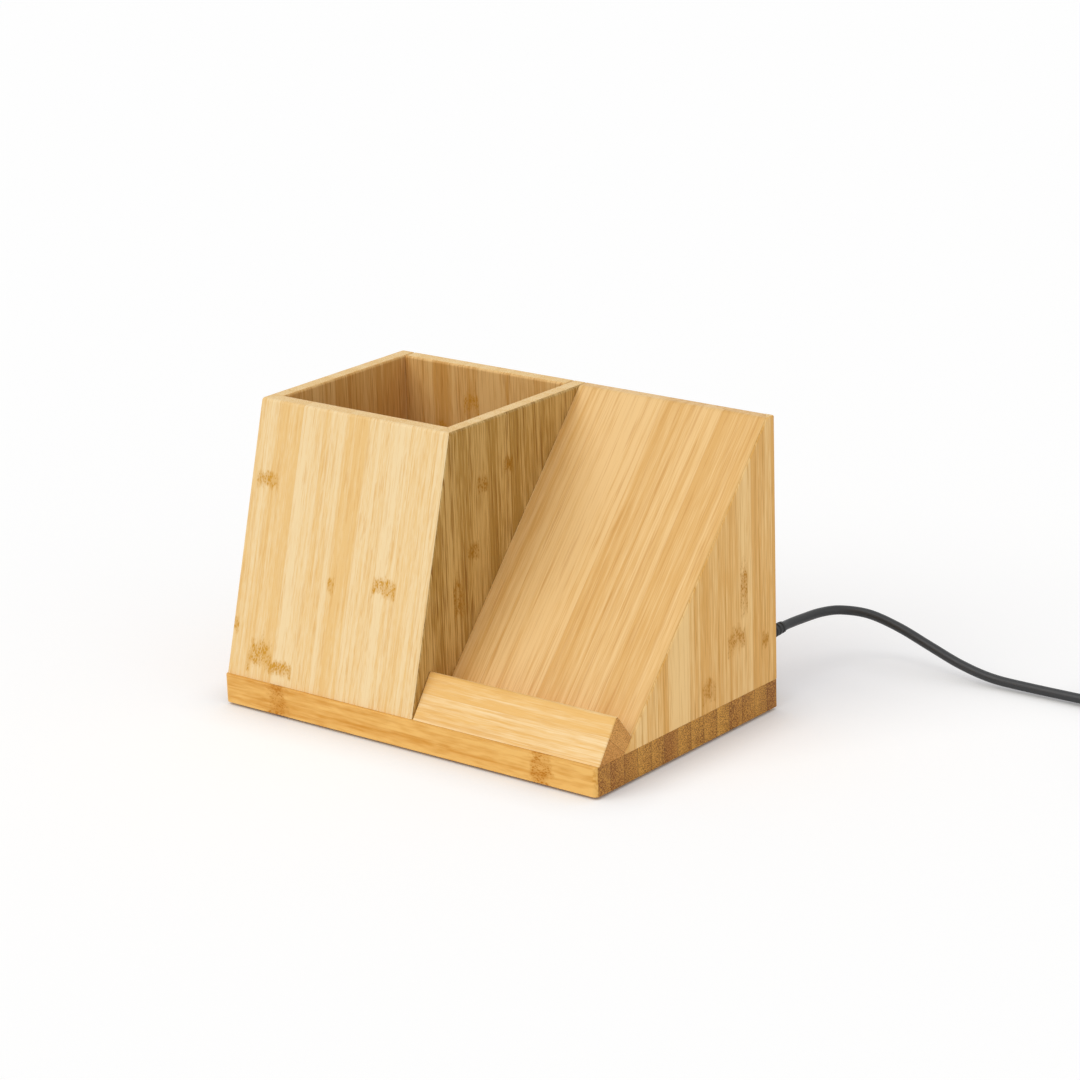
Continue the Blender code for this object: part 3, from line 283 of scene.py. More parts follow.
def glue_line(tree, across, width, near, far, depth):
    """The thin line where two strips meet."""
    rim = calc(tree, "MULTIPLY", nearer_end(tree, across), width)
    return spread(tree, rim, near, far, depth, 0.0)


def make_strip_group():
    """Long grain: x runs across the strips, y along the fibres and z through the board."""
    looks = {
        "Strip Width": 0.018,
        "Seed": 0.0,
        "Pale": (0.88, 0.66, 0.38, 1.0),
        "Golden": (0.78, 0.50, 0.20, 1.0),
        "Streak": STREAK,
        "Streak Depth": 0.5,
        "Tone Spread": 0.8,
        "Knot": KNOT,
        "Fibre Shortness": 1.0,
        "Fibre Contrast": 1.0,
        "Joint Spacing": 0.16,
        "Joint Amount": 0.4,
    }
    tree, given = node_group("bamboo_long_grain", looks)
    x, y, z = axes(tree, given["Place"])
    strip, across, chance, parts = strip_at(tree, x, given, 0.0)
    along = calc(tree, "MULTIPLY_ADD", parts[0], STRIP_SHIFT, y)
    lane = calc(tree, "MULTIPLY_ADD", strip, LANE_STEP, given["Seed"])
    shallow = calc(tree, "MULTIPLY_ADD", z, 300.0, lane)
    depth = calc(tree, "MULTIPLY_ADD", z, 900.0, lane)
    drawn = calc(tree, "MULTIPLY", along, given["Fibre Shortness"])

    clouds = noise(tree, scaled(tree, x, along, lane, CLOUDS), 3.0, 0.6)
    bands = noise(tree, scaled(tree, x, along, shallow, BANDS), 2.0)
    dashes = noise(tree, scaled(tree, x, drawn, depth, DASHES), 2.0, 0.7)
    hairs = noise(tree, scaled(tree, x, drawn, depth, HAIRS), 2.0, 0.5)
    fibres = noise(tree, scaled(tree, x, drawn, depth, FIBRES), 1.0, 0.5)

    tone = sway(tree, 0.45, chance, given["Tone Spread"])
    tone = sway(tree, tone, clouds, 2.4)
    tone = sway(tree, tone, bands, 2.0)
    fine = calc(tree, "MULTIPLY_ADD", calc(tree, "ADD", hairs, fibres), 1.95, -1.95)
    tone = clamped(tree, calc(tree, "MULTIPLY_ADD", fine, given["Fibre Contrast"], tone))
    colour = blend(tree, tone, given["Pale"], given["Golden"])

    fainter = spread(tree, bands, 0.36, 0.60, 0.2, 1.0)
    streak = calc(tree, "MULTIPLY", spread(tree, dashes, 0.53, 0.63), fainter)
    hair = calc(tree, "MULTIPLY", spread(tree, hairs, 0.55, 0.70), 0.5)
    streak = calc(tree, "MAXIMUM", streak, hair)
    colour = blend(tree, calc(tree, "MULTIPLY", streak, given["Streak Depth"]), colour, given["Streak"])

    phase = calc(tree, "ADD", calc(tree, "DIVIDE", along, given["Joint Spacing"]), parts[1])
    share = calc(tree, "SUBTRACT", calc(tree, "FRACT", phase), 0.5)
    bow = calc(tree, "POWER", calc(tree, "SUBTRACT", across, 0.5), 2.0)
    off = calc(tree, "MULTIPLY_ADD", bow, JOINT_BOW, calc(tree, "MULTIPLY", share, given["Joint Spacing"]))
    off = sway(tree, off, noise(tree, scaled(tree, x, along, lane, RIPPLES), 2.0), JOINT_RIPPLE)
    band = spread(tree, calc(tree, "ABSOLUTE", off), JOINT_CORE, JOINT_EDGE, 1.0, 0.0)
    band = calc(tree, "MULTIPLY", band, calc(tree, "LESS_THAN", parts[2], given["Joint Amount"]))
    knot = calc(tree, "MULTIPLY", band, flecks(tree, x, along, z))
    colour = blend(tree, knot, colour, given["Knot"])
    seam = glue_line(tree, across, given["Strip Width"], *SEAM)
    colour = blend(tree, seam, colour, given["Streak"])

    rough = calc(tree, "MULTIPLY_ADD", streak, 0.10, 0.40)
    rough = calc(tree, "MULTIPLY_ADD", knot, 0.12, rough)
    height = calc(tree, "MULTIPLY_ADD", streak, -0.6, calc(tree, "MULTIPLY", hairs, 0.4))
    height = calc(tree, "MULTIPLY_ADD", knot, -0.35, height)
    height = calc(tree, "MULTIPLY_ADD", seam, -2.0, height)
    add_node(tree, "NodeGroupOutput", colour, rough, height)
    return tree


def make_end_group():
    """End grain: x runs across the strips and z through the board. Fibres crowd to one side of a strip."""
    looks = {
        "Strip Width": 0.008,
        "Seed": 0.0,
        "Light": (0.62, 0.36, 0.145, 1.0),
        "Dark": (0.38, 0.185, 0.07, 1.0),
        "Dot": (0.20, 0.085, 0.025, 1.0),
    }
    tree, given = node_group("bamboo_end_grain", looks)
    x, y, z = axes(tree, given["Place"])
    strip, across, chance, parts = strip_at(tree, x, given, 1.0)
    turned = calc(tree, "GREATER_THAN", parts[0], 0.5)
    side = calc(tree, "ABSOLUTE", calc(tree, "SUBTRACT", across, turned))

    tone = sway(tree, chance, noise(tree, scaled(tree, x, strip, z, END_CLOUDS), 2.0), 0.8)
    tone = clamped(tree, calc(tree, "MULTIPLY_ADD", side, 0.30, calc(tree, "SUBTRACT", tone, 0.15)))
    colour = blend(tree, tone, given["Light"], given["Dark"])

    spot = scaled(tree, x, strip, z, END_DOTS)
    cells = add_node(tree, "ShaderNodeTexVoronoi", spot, None, 1.0).outputs["Distance"]
    dust = noise(tree, scaled(tree, x, strip, z, END_DUST), 2.0, 0.6)
    colour = blend(tree, spread(tree, dust, 0.40, 0.52, 0.55, 0.0), colour, given["Light"])
    dot = spread(tree, calc(tree, "MULTIPLY_ADD", side, 0.10, calc(tree, "SUBTRACT", dust, 0.05)), 0.50, 0.64)
    dot = calc(tree, "MAXIMUM", calc(tree, "MULTIPLY", dot, 0.8), spread(tree, cells, 0.20, 0.45, 0.85, 0.0))
    colour = blend(tree, dot, colour, given["Dot"])

    seam = glue_line(tree, across, given["Strip Width"], *END_SEAM)
    colour = blend(tree, seam, colour, given["Dot"])
    rough = calc(tree, "MULTIPLY_ADD", dot, 0.15, 0.48)
    height = calc(tree, "MULTIPLY_ADD", dot, -0.8, calc(tree, "MULTIPLY", seam, -1.2))
    add_node(tree, "NodeGroupOutput", colour, rough, height)
    return tree


def make_mark_group():
    """One joint mark of the cane at a known place: a bowed, mottled band across part of a strip."""
    sizes = {"Across": 0.0, "Along": 0.0, "Half Width": 0.006, "Half Length": 0.004, "Bow": 0.3}
    tree, given = node_group("bamboo_joint_mark", sizes, ("Mark",))
    x, y, z = axes(tree, given["Place"])
    beside = calc(tree, "DIVIDE", calc(tree, "SUBTRACT", x, given["Across"]), given["Half Width"])
    beyond = calc(tree, "DIVIDE", calc(tree, "SUBTRACT", y, given["Along"]), given["Half Length"])
    bow = calc(tree, "POWER", calc(tree, "ABSOLUTE", beside), 2.0)
    beyond = calc(tree, "MULTIPLY_ADD", bow, given["Bow"], beyond)
    beyond = sway(tree, beyond, noise(tree, scaled(tree, x, y, z, MARK_RIPPLES), 2.0), 1.8)
    sides = spread(tree, calc(tree, "ABSOLUTE", beside), 0.82, 1.0, 1.0, 0.0)
    band = spread(tree, calc(tree, "ABSOLUTE", beyond), 0.35, 1.0, 1.0, 0.0)
    mark = calc(tree, "MULTIPLY", band, flecks(tree, x, y, z))
    add_node(tree, "NodeGroupOutput", calc(tree, "MULTIPLY", mark, sides))
    return tree


strip_group = make_strip_group()
end_group = make_end_group()
mark_group = make_mark_group()


def turned_place(tree, across, along, origin=(0.0, 0.0, 0.0)):
    """Object coordinates turned so that x runs across, y along and z through a board, from its origin."""
    turn = Matrix((across, along, across.cross(along)))
    place = tree.nodes.new("ShaderNodeTexCoord")
    local = add_node(tree, "ShaderNodeMapping", place.outputs["Object"])
    local.inputs["Rotation"].default_value = turn.to_euler()
    local.inputs["Location"].default_value = turn @ -Vector(origin)
    return place, local.outputs[0]


def group_node(tree, group, local, values):
    """Place a node group in a material, with a place on the board and its own values."""
    made = tree.nodes.new("ShaderNodeGroup")
    made.node_tree = group
    tree.links.new(local, made.inputs["Place"])
    for key, value in values.items():
        made.inputs[key].default_value = value
    return made


def bamboo(name, across, along, strip, seed, looks, marks=(), origin=None, ends=None, end_strip=None):
    """Lacquered bamboo for one board, given the directions across its strips and along its fibres.

    A mark has its place across and along the strips from the origin, its half width, half length and bow.
    """
    finish, tree, shader = new_material(name)
    across, along = Vector(across).normalized(), Vector(along).normalized()
    place, local = turned_place(tree, across, along, origin or (0.0, 0.0, 0.0))
    long_grain = group_node(tree, strip_group, local, {"Strip Width": strip, "Seed": seed, **looks})
    end_looks = {"Strip Width": end_strip or strip, "Seed": seed, **(ends or {})}
    end_grain = group_node(tree, end_group, local, end_looks)

    colour, rough, height = long_grain.outputs
    for sizes in marks:
        values = zip(("Across", "Along", "Half Width", "Half Length", "Bow"), sizes)
        mark = group_node(tree, mark_group, local, dict(values)).outputs["Mark"]
        colour = blend(tree, mark, colour, looks.get("Knot", KNOT))
        height = calc(tree, "MULTIPLY_ADD", mark, -0.35, height)

    normal = place.outputs["Normal"]
    facing = add_node(tree, "ShaderNodeVectorMath", normal, tuple(along), operation="DOT_PRODUCT")
    cut = spread(tree, calc(tree, "ABSOLUTE", facing.outputs["Value"]), 0.88, 0.97)
    colour = blend(tree, cut, colour, end_grain.outputs["Color"])
    rough = add_node(tree, "ShaderNodeMix", cut, None, rough, end_grain.outputs["Roughness"]).outputs[0]
    height = add_node(tree, "ShaderNodeMix", cut, None, height, end_grain.outputs["Height"]).outputs[0]
    tree.links.new(colour, shader.inputs["Base Color"])
    bump = add_node(tree, "ShaderNodeBump", 0.35, 0.00008)
    tree.links.new(height, bump.inputs["Height"])
    tree.links.new(bump.outputs[0], shader.inputs["Normal"])
    tree.links.new(rough, shader.inputs["Roughness"])
    shader.inputs["Specular IOR Level"].default_value = 0.3
    return finish


# The slab: one board of glued bamboo, more golden in front than the walls, with well rounded lower edges and
# a round recess for each foot. The other boards take their places from its sizes. They stand closed on it and
# on each other, with a hairline of glue between them.
LEFT, RIGHT = -0.084, 0.084
FRONT, BACK = -0.052, 0.052
SLAB_BOTTOM, SLAB_TOP, TOP = 0.001, 0.0115, 0.108
BOARD = 0.006
CUP_RIGHT = 0.003
CUP_SETBACK = 0.026
FRONT_RUN = 0.006214
STAND_FRONT, SLOPE_RUN = -0.038, 0.085
SLOPE_ANGLE = math.atan2(TOP - SLAB_TOP, SLOPE_RUN)
PANEL_RUN = BOARD / math.sin(SLOPE_ANGLE)
HAIRLINE = 0.00006
ON_SLAB = SLAB_TOP + HAIRLINE
NOSE = 0.0015
RIM_ROUND, CORNER_ROUND = 0.0010, 0.0011
SLAB_FRONT_CORNER, SLAB_BACK_CORNER = 0.002, 0.001
SLAB_LOWER_ROUND, BROKEN_EDGE = 0.002, 0.0002
FOOT_PLACES = [(x, y) for x in (-0.072, 0.072) for y in (-0.040, 0.040)]
RECESS_RADIUS, RECESS_DEPTH = 0.0053, 0.0009
OVERRUN = 0.001
UP_SLOPE = (0.0, math.cos(SLOPE_ANGLE), math.sin(SLOPE_ANGLE))


def cup_front(z):
    """Where the cup's slanted front face is at a height."""
    return FRONT + CUP_SETBACK * (z - SLAB_TOP) / (TOP - SLAB_TOP)


def slope_front(z):
    """Where the stand's sloped face is at a height."""
    return STAND_FRONT + SLOPE_RUN * (z - SLAB_TOP) / (TOP - SLAB_TOP)


def arc(middle, radius, start, end, steps=3):
    """Points on part of a circle in plan, in degrees from +X."""
    angles = [math.radians(start + (end - start) * i / steps) for i in range(steps + 1)]
    return [(middle[0] + radius * math.cos(a), middle[1] + radius * math.sin(a)) for a in angles]


def circle(middle, radius, count):
    """Points round a full circle in plan."""
    return arc(middle, radius, 0, 360, count)[:-1]


def link_mesh(name, shape, finish, smooth=35):
    """Link a bmesh as an object whose faces point out, smooth but for its sharp edges."""
    bmesh.ops.recalc_face_normals(shape, faces=shape.faces)
    mesh = bpy.data.meshes.new(name)
    shape.to_mesh(mesh)
    shape.free()
    mesh.shade_smooth()
    mesh.set_sharp_from_angle(angle=math.radians(smooth))
    if finish:
        mesh.materials.append(finish)
    made = bpy.data.objects.new(name, mesh)
    bpy.context.collection.objects.link(made)
    return made


def skin(rings):
    """A closed bmesh over a row of rings that have as many points each."""
    shape = bmesh.new()
    rows = [[shape.verts.new(p) for p in ring] for ring in rings]
    shape.faces.new(rows[0])
    shape.faces.new(rows[-1])
    for first, second in zip(rows, rows[1:]):
        for i, j in zip(range(len(first)), [*range(1, len(first)), 0]):
            shape.faces.new((first[i], first[j], second[j], second[i]))
    return shape


def board(name, first, second, finish, rounding=None, trim=None, widest=0.002, segments=4):
    """A board between two outlines of as many points, cut off at the trim's depth if it has one.

    Rounding gives an edge's radius from its two ends.
    """
    shape = skin((first, second))
    if trim:
        everything = [*shape.verts, *shape.edges, *shape.faces]
        plane = {"plane_co": (0, trim, 0), "plane_no": (0, 1, 0)}
        cut = bmesh.ops.bisect_plane(shape, geom=everything, clear_outer=True, **plane)["geom_cut"]
        rim = [part for part in cut if isinstance(part, bmesh.types.BMEdge)]
        bmesh.ops.contextual_create(shape, geom=rim)
    weights = shape.edges.layers.float.new("bevel_weight_edge")
    for edge in shape.edges:
        edge[weights] = rounding(edge.verts[0].co, edge.verts[1].co) / widest if rounding else 0.0
    made = link_mesh(name, shape, finish)
    if rounding:
        bevel = made.modifiers.new("rounding", "BEVEL")
        bevel.limit_method = "WEIGHT"
        bevel.width = widest
        bevel.segments = segments
        settle(made)
        even_out(made)
    return made


def carve(thing, cutter):
    """Take the cutter's shape out of the thing for good, and remove the cutter."""
    boolean = thing.modifiers.new("carving", "BOOLEAN")
    boolean.object = cutter
    boolean.solver = "EXACT"
    settle(thing)
    bpy.data.objects.remove(cutter)
    even_out(thing)


def even_out(thing, smooth=35):
    """Smooth shading that keeps the sharp edges sharp and the flat faces flat."""
    leftover = thing.data.attributes.get("custom_normal")
    if leftover:
        thing.data.attributes.remove(leftover)
    thing.data.shade_smooth()
    thing.data.set_sharp_from_angle(angle=math.radians(smooth))
    if "even" not in thing.modifiers:
        even = thing.modifiers.new("even", "WEIGHTED_NORMAL")
        even.keep_sharp = True


def settle(thing):
    """Turn a thing with modifiers, or a curve, into a plain mesh object of the same name."""
    graph = bpy.context.evaluated_depsgraph_get()
    mesh = bpy.data.meshes.new_from_object(thing.evaluated_get(graph))
    if thing.type == "MESH":
        thing.modifiers.clear()
        thing.data = mesh
        return thing
    name = thing.name
    bpy.data.objects.remove(thing)
    made = bpy.data.objects.new(name, mesh)
    bpy.context.collection.objects.link(made)
    return made


def level(outline, z):
    """An outline in plan, lifted to a height."""
    return [(x, y, z) for x, y in outline]


def along_x(x, outline):
    """An outline of (y, z) points, set at a place across the width."""
    return [(x, y, z) for y, z in outline]


def hand_in(made, nodes, body="organiser"):
    """Put a finished piece in its node's place, or in the places of several."""
    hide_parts(*([nodes] if isinstance(nodes, str) else nodes))
    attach(made, body)


slab_finish = bamboo(
    "slab_bamboo",
    across=(0, 1, 0),
    along=(-1, 0, 0),
    strip=0.008,
    seed=3.0,
    looks={
        "Pale": (0.87, 0.505, 0.138, 1.0),
        "Golden": (0.65, 0.280, 0.026, 1.0),
        "Streak": (0.54, 0.20, 0.008, 1.0),
        "Streak Depth": 0.35,
        "Knot": (0.52, 0.190, 0.001, 1.0),
        "Fibre Shortness": 0.45,
        "Fibre Contrast": 0.6,
        "Joint Amount": 0.0,
    },
    marks=((-0.0535, 0.0588, 0.012, 0.0056, 0.2), (-0.0535, -0.0605, 0.012, 0.0054, 0.2)),
    ends={
        "Light": (0.73, 0.37, 0.060, 1.0),
        "Dark": (0.40, 0.145, 0.020, 1.0),
        "Dot": (0.17, 0.055, 0.004, 1.0),
        "Seed": 575.0,
    },
    end_strip=0.0076,
)


def slab_plan():
    """The slab's outline: its front corners well rounded, its back corners as tight as the boards above."""
    corners = (
        (RIGHT, FRONT - NOSE, 270, SLAB_FRONT_CORNER),
        (RIGHT, BACK, 0, SLAB_BACK_CORNER),
        (LEFT, BACK, 90, SLAB_BACK_CORNER),
        (LEFT, FRONT - NOSE, 180, SLAB_FRONT_CORNER),
    )
    outline = []
    for x, y, start, radius in corners:
        middle = (x - math.copysign(radius, x), y - math.copysign(radius, y))
        outline += arc(middle, radius, start, start + 90, 6)
    return outline


def slab_rounding(p, q):
    """A round nose in front, round lower edges, and the edges under the boards just broken."""
    if abs(p.z - q.z) > BOARD / 2:
        return 0.0
    if p.z < SLAB_TOP - BOARD / 2:
        return SLAB_LOWER_ROUND
    return NOSE if max(p.y, q.y) < FRONT + HAIRLINE else BROKEN_EDGE


outline = slab_plan()
slab = board("slab", level(outline, SLAB_BOTTOM), level(outline, SLAB_TOP), slab_finish, slab_rounding)
for place in FOOT_PLACES:
    hole = circle(place, RECESS_RADIUS, 48)
    ends = [level(hole, z) for z in (SLAB_BOTTOM - OVERRUN, SLAB_BOTTOM + RECESS_DEPTH)]
    carve(slab, board("foot_recess", *ends, None))
hand_in(slab, "base_slab")

# The feet: four soft black rubber pads with a rounded rim, punched from sheet. Each is glued into its recess
# and stands a little proud of it.
FOOT_SIZES = {"Radius": 0.005, "Thickness": 0.0016, "Rings": 17, "Rubber": None}
FOOT_NODES = ("foot_front_left", "foot_front_right", "foot_back_left", "foot_back_right")


def geometry_tree(name, inputs):
    """A geometry tree and its named inputs: a whole number is a count, and None is a material."""
    tree = bpy.data.node_groups.new(name, "GeometryNodeTree")
    tree.interface.new_socket("Geometry", in_out="INPUT", socket_type="NodeSocketGeometry")
    for key, value in inputs.items():
        kind = "NodeSocketInt" if isinstance(value, int) else "NodeSocketFloat"
        kind = "NodeSocketMaterial" if value is None else kind
        made = tree.interface.new_socket(key, in_out="INPUT", socket_type=kind)
        if value is not None:
            made.default_value = value
    tree.interface.new_socket("Geometry", in_out="OUTPUT", socket_type="NodeSocketGeometry")
    return tree, tree.nodes.new("NodeGroupInput").outputs


def form(tree, kind, values, **settings):
    """Add a geometry node, set its inputs by name, and give its first output."""
    made = tree.nodes.new("GeometryNode" + kind)
    for name, value in settings.items():
        setattr(made, name, value)
    for name, value in values.items():
        if isinstance(value, bpy.types.NodeSocket):
            tree.links.new(value, made.inputs[name])
        else:
            made.inputs[name].default_value = value
    return made.outputs[0]


def along_curve(tree):
    """How far along a curve each of its points is, from 0 to 1."""
    return tree.nodes.new("GeometryNodeSplineParameter").outputs["Factor"]


def along_line(tree, line, profile, size):
    """A solid along a line, whose profile is scaled by a size."""
    values = {"Curve": line, "Profile Curve": profile, "Scale": size, "Fill Caps": True}
    return form(tree, "CurveToMesh", values)


def swept(tree, start, end, count, profile, size):
    """A solid along a straight line, whose profile has a size at each share of the way."""
    line = form(tree, "CurvePrimitiveLine", {"Start": start, "End": end})
    line = form(tree, "ResampleCurve", {"Curve": line, "Count": count})
    return along_line(tree, line, profile, size)


def above_origin(tree, height):
    """A place straight above the origin."""
    return add_node(tree, "ShaderNodeCombineXYZ", 0.0, 0.0, height).outputs[0]


def close_tree(tree, places, thing, *finishes):
    """End a tree: the thing on each place, made real, with each finish where it belongs."""
    made = form(tree, "InstanceOnPoints", {"Points": places, "Instance": thing})
    made = form(tree, "RealizeInstances", {"Geometry": made})
    for finish, where in finishes:
        made = form(tree, "SetMaterial", {"Geometry": made, "Material": finish, "Selection": where})
    add_node(tree, "NodeGroupOutput", made)
    return tree


def grown(name, tree, places, values, turn=None, smooth=35):
    """A plain mesh from a geometry tree on a list of places, turned and moved at the end."""
    mesh = bpy.data.meshes.new(name)
    mesh.from_pydata(places, [], [])
    made = bpy.data.objects.new(name, mesh)
    bpy.context.collection.objects.link(made)
    growth = made.modifiers.new("growth", "NODES")
    growth.node_group = tree
    for socket in tree.interface.items_tree:
        if socket.in_out == "INPUT" and socket.name in values:
            growth[socket.identifier] = values[socket.name]
    settle(made)
    if turn:
        made.data.transform(turn)
    even_out(made, smooth)
    return made


def make_foot_tree():
    """A round pad on each place, its rim rounded over."""
    tree, given = geometry_tree("rubber_feet", FOOT_SIZES)
    from_middle = calc(tree, "ABSOLUTE", calc(tree, "MULTIPLY_ADD", along_curve(tree), 1.97, -0.985))
    bulge = calc(tree, "POWER", calc(tree, "SUBTRACT", 1.0, calc(tree, "POWER", from_middle, 8.0)), 1 / 8)
    top = above_origin(tree, given["Thickness"])
    ring = form(tree, "CurvePrimitiveCircle", {"Resolution": 64, "Radius": given["Radius"]})
    pad = swept(tree, (0.0, 0.0, 0.0), top, given["Rings"], ring, bulge)
    return close_tree(tree, given["Geometry"], pad, (given["Rubber"], True))


def shaded(tree, colour, shade):
    """A colour made darker or lighter."""
    made = add_node(tree, "ShaderNodeVectorMath", colour, operation="SCALE")
    tree.links.new(shade, made.inputs["Scale"])
    return made.outputs[0]


def make_moulded_group():
    """A moulded or extruded skin: fine grain, faint clouds in its colour and gloss."""
    looks = {
        "Base": (0.02, 0.02, 0.02, 1.0),
        "Dullness": 0.45,
        "Grain": 2600.0,
        "Clouding": 0.5,
        "Speckle": 0.0,
    }
    tree, given = node_group("moulded_skin", looks)
    fine = add_node(tree, "ShaderNodeTexNoise", given["Place"], None, given["Grain"], 3.0, 0.6).outputs[0]
    wide = calc(tree, "DIVIDE", given["Grain"], 14.0)
    cloudy = add_node(tree, "ShaderNodeTexNoise", given["Place"], None, wide, 2.0, 0.5).outputs[0]
    shade = sway(tree, 1.0, cloudy, given["Clouding"])
    shade = sway(tree, shade, fine, given["Speckle"])
    dull = calc(tree, "ADD", given["Dullness"], calc(tree, "MULTIPLY_ADD", cloudy, 0.3, -0.14))
    add_node(tree, "NodeGroupOutput", shaded(tree, given["Base"], shade), dull, fine)
    return tree


def surface(name, group, values, plain=None, bump=0.25, relief=0.00005, across=(1, 0, 0), along=(0, 1, 0)):
    """A material whose colour, gloss and relief come from a group, with plain values on its shader."""
    finish, tree, shader = new_material(name)
    made = group_node(tree, group, turned_place(tree, Vector(across), Vector(along))[1], values)
    lift = add_node(tree, "ShaderNodeBump", bump, relief)
    tree.links.new(made.outputs["Height"], lift.inputs["Height"])
    tree.links.new(made.outputs["Color"], shader.inputs["Base Color"])
    tree.links.new(made.outputs["Roughness"], shader.inputs["Roughness"])
    tree.links.new(lift.outputs[0], shader.inputs["Normal"])
    for key, value in (plain or {}).items():
        shader.inputs[key].default_value = value
    return finish


moulded_group = make_moulded_group()
foot_rubber = surface(
    "foot_rubber",
    moulded_group,
    {"Base": (0.030, 0.030, 0.031, 1.0), "Dullness": 0.78, "Grain": 3200.0, "Speckle": 0.5},
    {"Specular IOR Level": 0.35},
)
foot_places = [(x, y, 0.0) for x, y in FOOT_PLACES]
feet = grown("feet", make_foot_tree(), foot_places, {**FOOT_SIZES, "Rubber": foot_rubber})
hand_in(feet, FOOT_NODES)

# The cup: a front board that leans back, a left wall, the divider towards the stand and a back wall. The
# front corners are mitred and rounded over, and the rim is rounded. The front is of wide pale strips, and the
# other boards are of narrow ones.
FRONT_LOOKS = {
    "Pale": (0.88, 0.67, 0.37, 1.0),
    "Golden": (0.82, 0.53, 0.205, 1.0),
    "Streak": (0.68, 0.35, 0.08, 1.0),
    "Streak Depth": 0.38,
    "Tone Spread": 0.62,
    "Knot": (0.60, 0.285, 0.018, 1.0),
    "Fibre Shortness": 0.8,
    "Fibre Contrast": 0.6,
    "Joint Amount": 0.0,
}
SIDE_LOOKS = {
    "Pale": (0.82, 0.52, 0.20, 1.0),
    "Golden": (0.66, 0.35, 0.09, 1.0),
    "Streak": (0.42, 0.165, 0.015, 1.0),
    "Streak Depth": 0.55,
    "Fibre Shortness": 0.35,
    "Fibre Contrast": 0.8,
    "Joint Amount": 0.5,
    "Joint Spacing": 0.11,
}
RIM_LOOKS = {
    "Light": (0.90, 0.66, 0.33, 1.0),
    "Dark": (0.85, 0.57, 0.24, 1.0),
    "Dot": (0.76, 0.44, 0.13, 1.0),
}
# The divider's colours are darker than the other side boards': painted shade, as of a phone standing against
# its face, over darker streaks of its own.
DIVIDER_SHADED_LOOKS = {
    **SIDE_LOOKS,
    "Pale": (0.635, 0.410, 0.143, 1.0),
    "Golden": (0.425, 0.237, 0.051, 1.0),
    "Streak": (0.24, 0.10, 0.008, 1.0),
    "Streak Depth": 0.75,
    "Fibre Contrast": 1.3,
    "Knot": (0.34, 0.150, 0.006, 1.0),
}
front_lean = math.atan2(TOP - SLAB_TOP, CUP_SETBACK)
front_finish = bamboo(
    "front_bamboo",
    across=(1, 0, 0),
    along=(0, math.cos(front_lean), math.sin(front_lean)),
    strip=0.01033,
    seed=369.0,
    looks=FRONT_LOOKS,
    marks=(
        (0.0145, 0.0112, 0.0062, 0.0062, 0.9),
        (0.0248, 0.0062, 0.0056, 0.0034, 0.3),
        (0.0080, 0.0718, 0.0056, 0.0036, 0.3),
        (0.0672, 0.0430, 0.0058, 0.0040, 0.3),
        (0.0430, 0.0395, 0.0016, 0.0034, 0.1),
        (0.0010, 0.0180, 0.0022, 0.0036, 0.2),
    ),
    origin=(LEFT, FRONT, SLAB_TOP),
    ends=RIM_LOOKS,
    end_strip=0.0205,
)
side_finish = bamboo(
    "side_bamboo",
    across=(0, -1, 0),
    along=(0, 0, 1),
    strip=0.0068,
    seed=11.0,
    looks=SIDE_LOOKS,
    ends=RIM_LOOKS,
)
back_finish = bamboo(
    "back_bamboo",
    across=(1, 0, 0),
    along=(0, 0, 1),
    strip=0.0072,
    seed=41.0,
    looks=SIDE_LOOKS,
    ends=RIM_LOOKS,
)
# The divider's finish, darkened with painted shade.
divider_shaded_finish = bamboo(
    "divider_bamboo_shaded",
    across=(0, -1, 0),
    along=(0, 0, 1),
    strip=0.0065,
    seed=23.0,
    looks=DIVIDER_SHADED_LOOKS,
    marks=(
        (0.0092, 0.0857, 0.0030, 0.0040, 0.3),
        (-0.0054, 0.0894, 0.0030, 0.0035, 0.3),
        (0.0154, 0.0629, 0.0034, 0.0036, 0.3),
        (0.0242, 0.0482, 0.0032, 0.0085, 0.2),
    ),
    ends=RIM_LOOKS,
)


def front_wall_plan(z):
    """The leaning front board's outline at a height, its ends cut to the mitres."""
    y, r = cup_front(z), CORNER_ROUND
    outline = arc((LEFT + r, y + r), r, 225, 270) + arc((CUP_RIGHT - r, y + r), r, 270, 315)
    return outline + [(CUP_RIGHT - BOARD, y + FRONT_RUN), (LEFT + BOARD, y + FRONT_RUN)]


def side_wall_plan(z, mirrored):
    """A side wall's outline at a height: mitred in front, its outer corners rounded."""
    y, r = cup_front(z), CORNER_ROUND
    outline = [(LEFT + BOARD, y + FRONT_RUN + HAIRLINE)]
    outline += [(px, py + HAIRLINE) for px, py in arc((LEFT + r, y + r), r, 225, 180)]
    outline += arc((LEFT + r, BACK - r), r, 180, 90) + [(LEFT + BOARD, BACK)]
    if mirrored:
        outline = [(LEFT + CUP_RIGHT - px, py) for px, py in outline]
    return outline


def rim_rounding(p, q):
    """Rounded along the rim but for the mitres, and just broken at the inner corners."""
    if p.z < TOP - HAIRLINE or q.z < TOP - HAIRLINE:
        return 0.0
    crosses = abs(p.x - q.x) > BOARD / 2 and BOARD / 2 < abs(p.y - q.y) < 2 * BOARD
    return 0.0 if crosses else RIM_ROUND


def cup_wall(name, plan, finish, node):
    """One wall of the cup, between its outlines at the slab and at the rim."""
    made = board(name, level(plan(ON_SLAB), ON_SLAB), level(plan(TOP), TOP), finish, rim_rounding)
    hand_in(made, node)


def back_wall_plan(z):
    """The back wall's outline, between the side walls."""
    x0, x1 = LEFT + BOARD + HAIRLINE, CUP_RIGHT - BOARD - HAIRLINE
    return [(x0, BACK - BOARD), (x1, BACK - BOARD), (x1, BACK), (x0, BACK)]


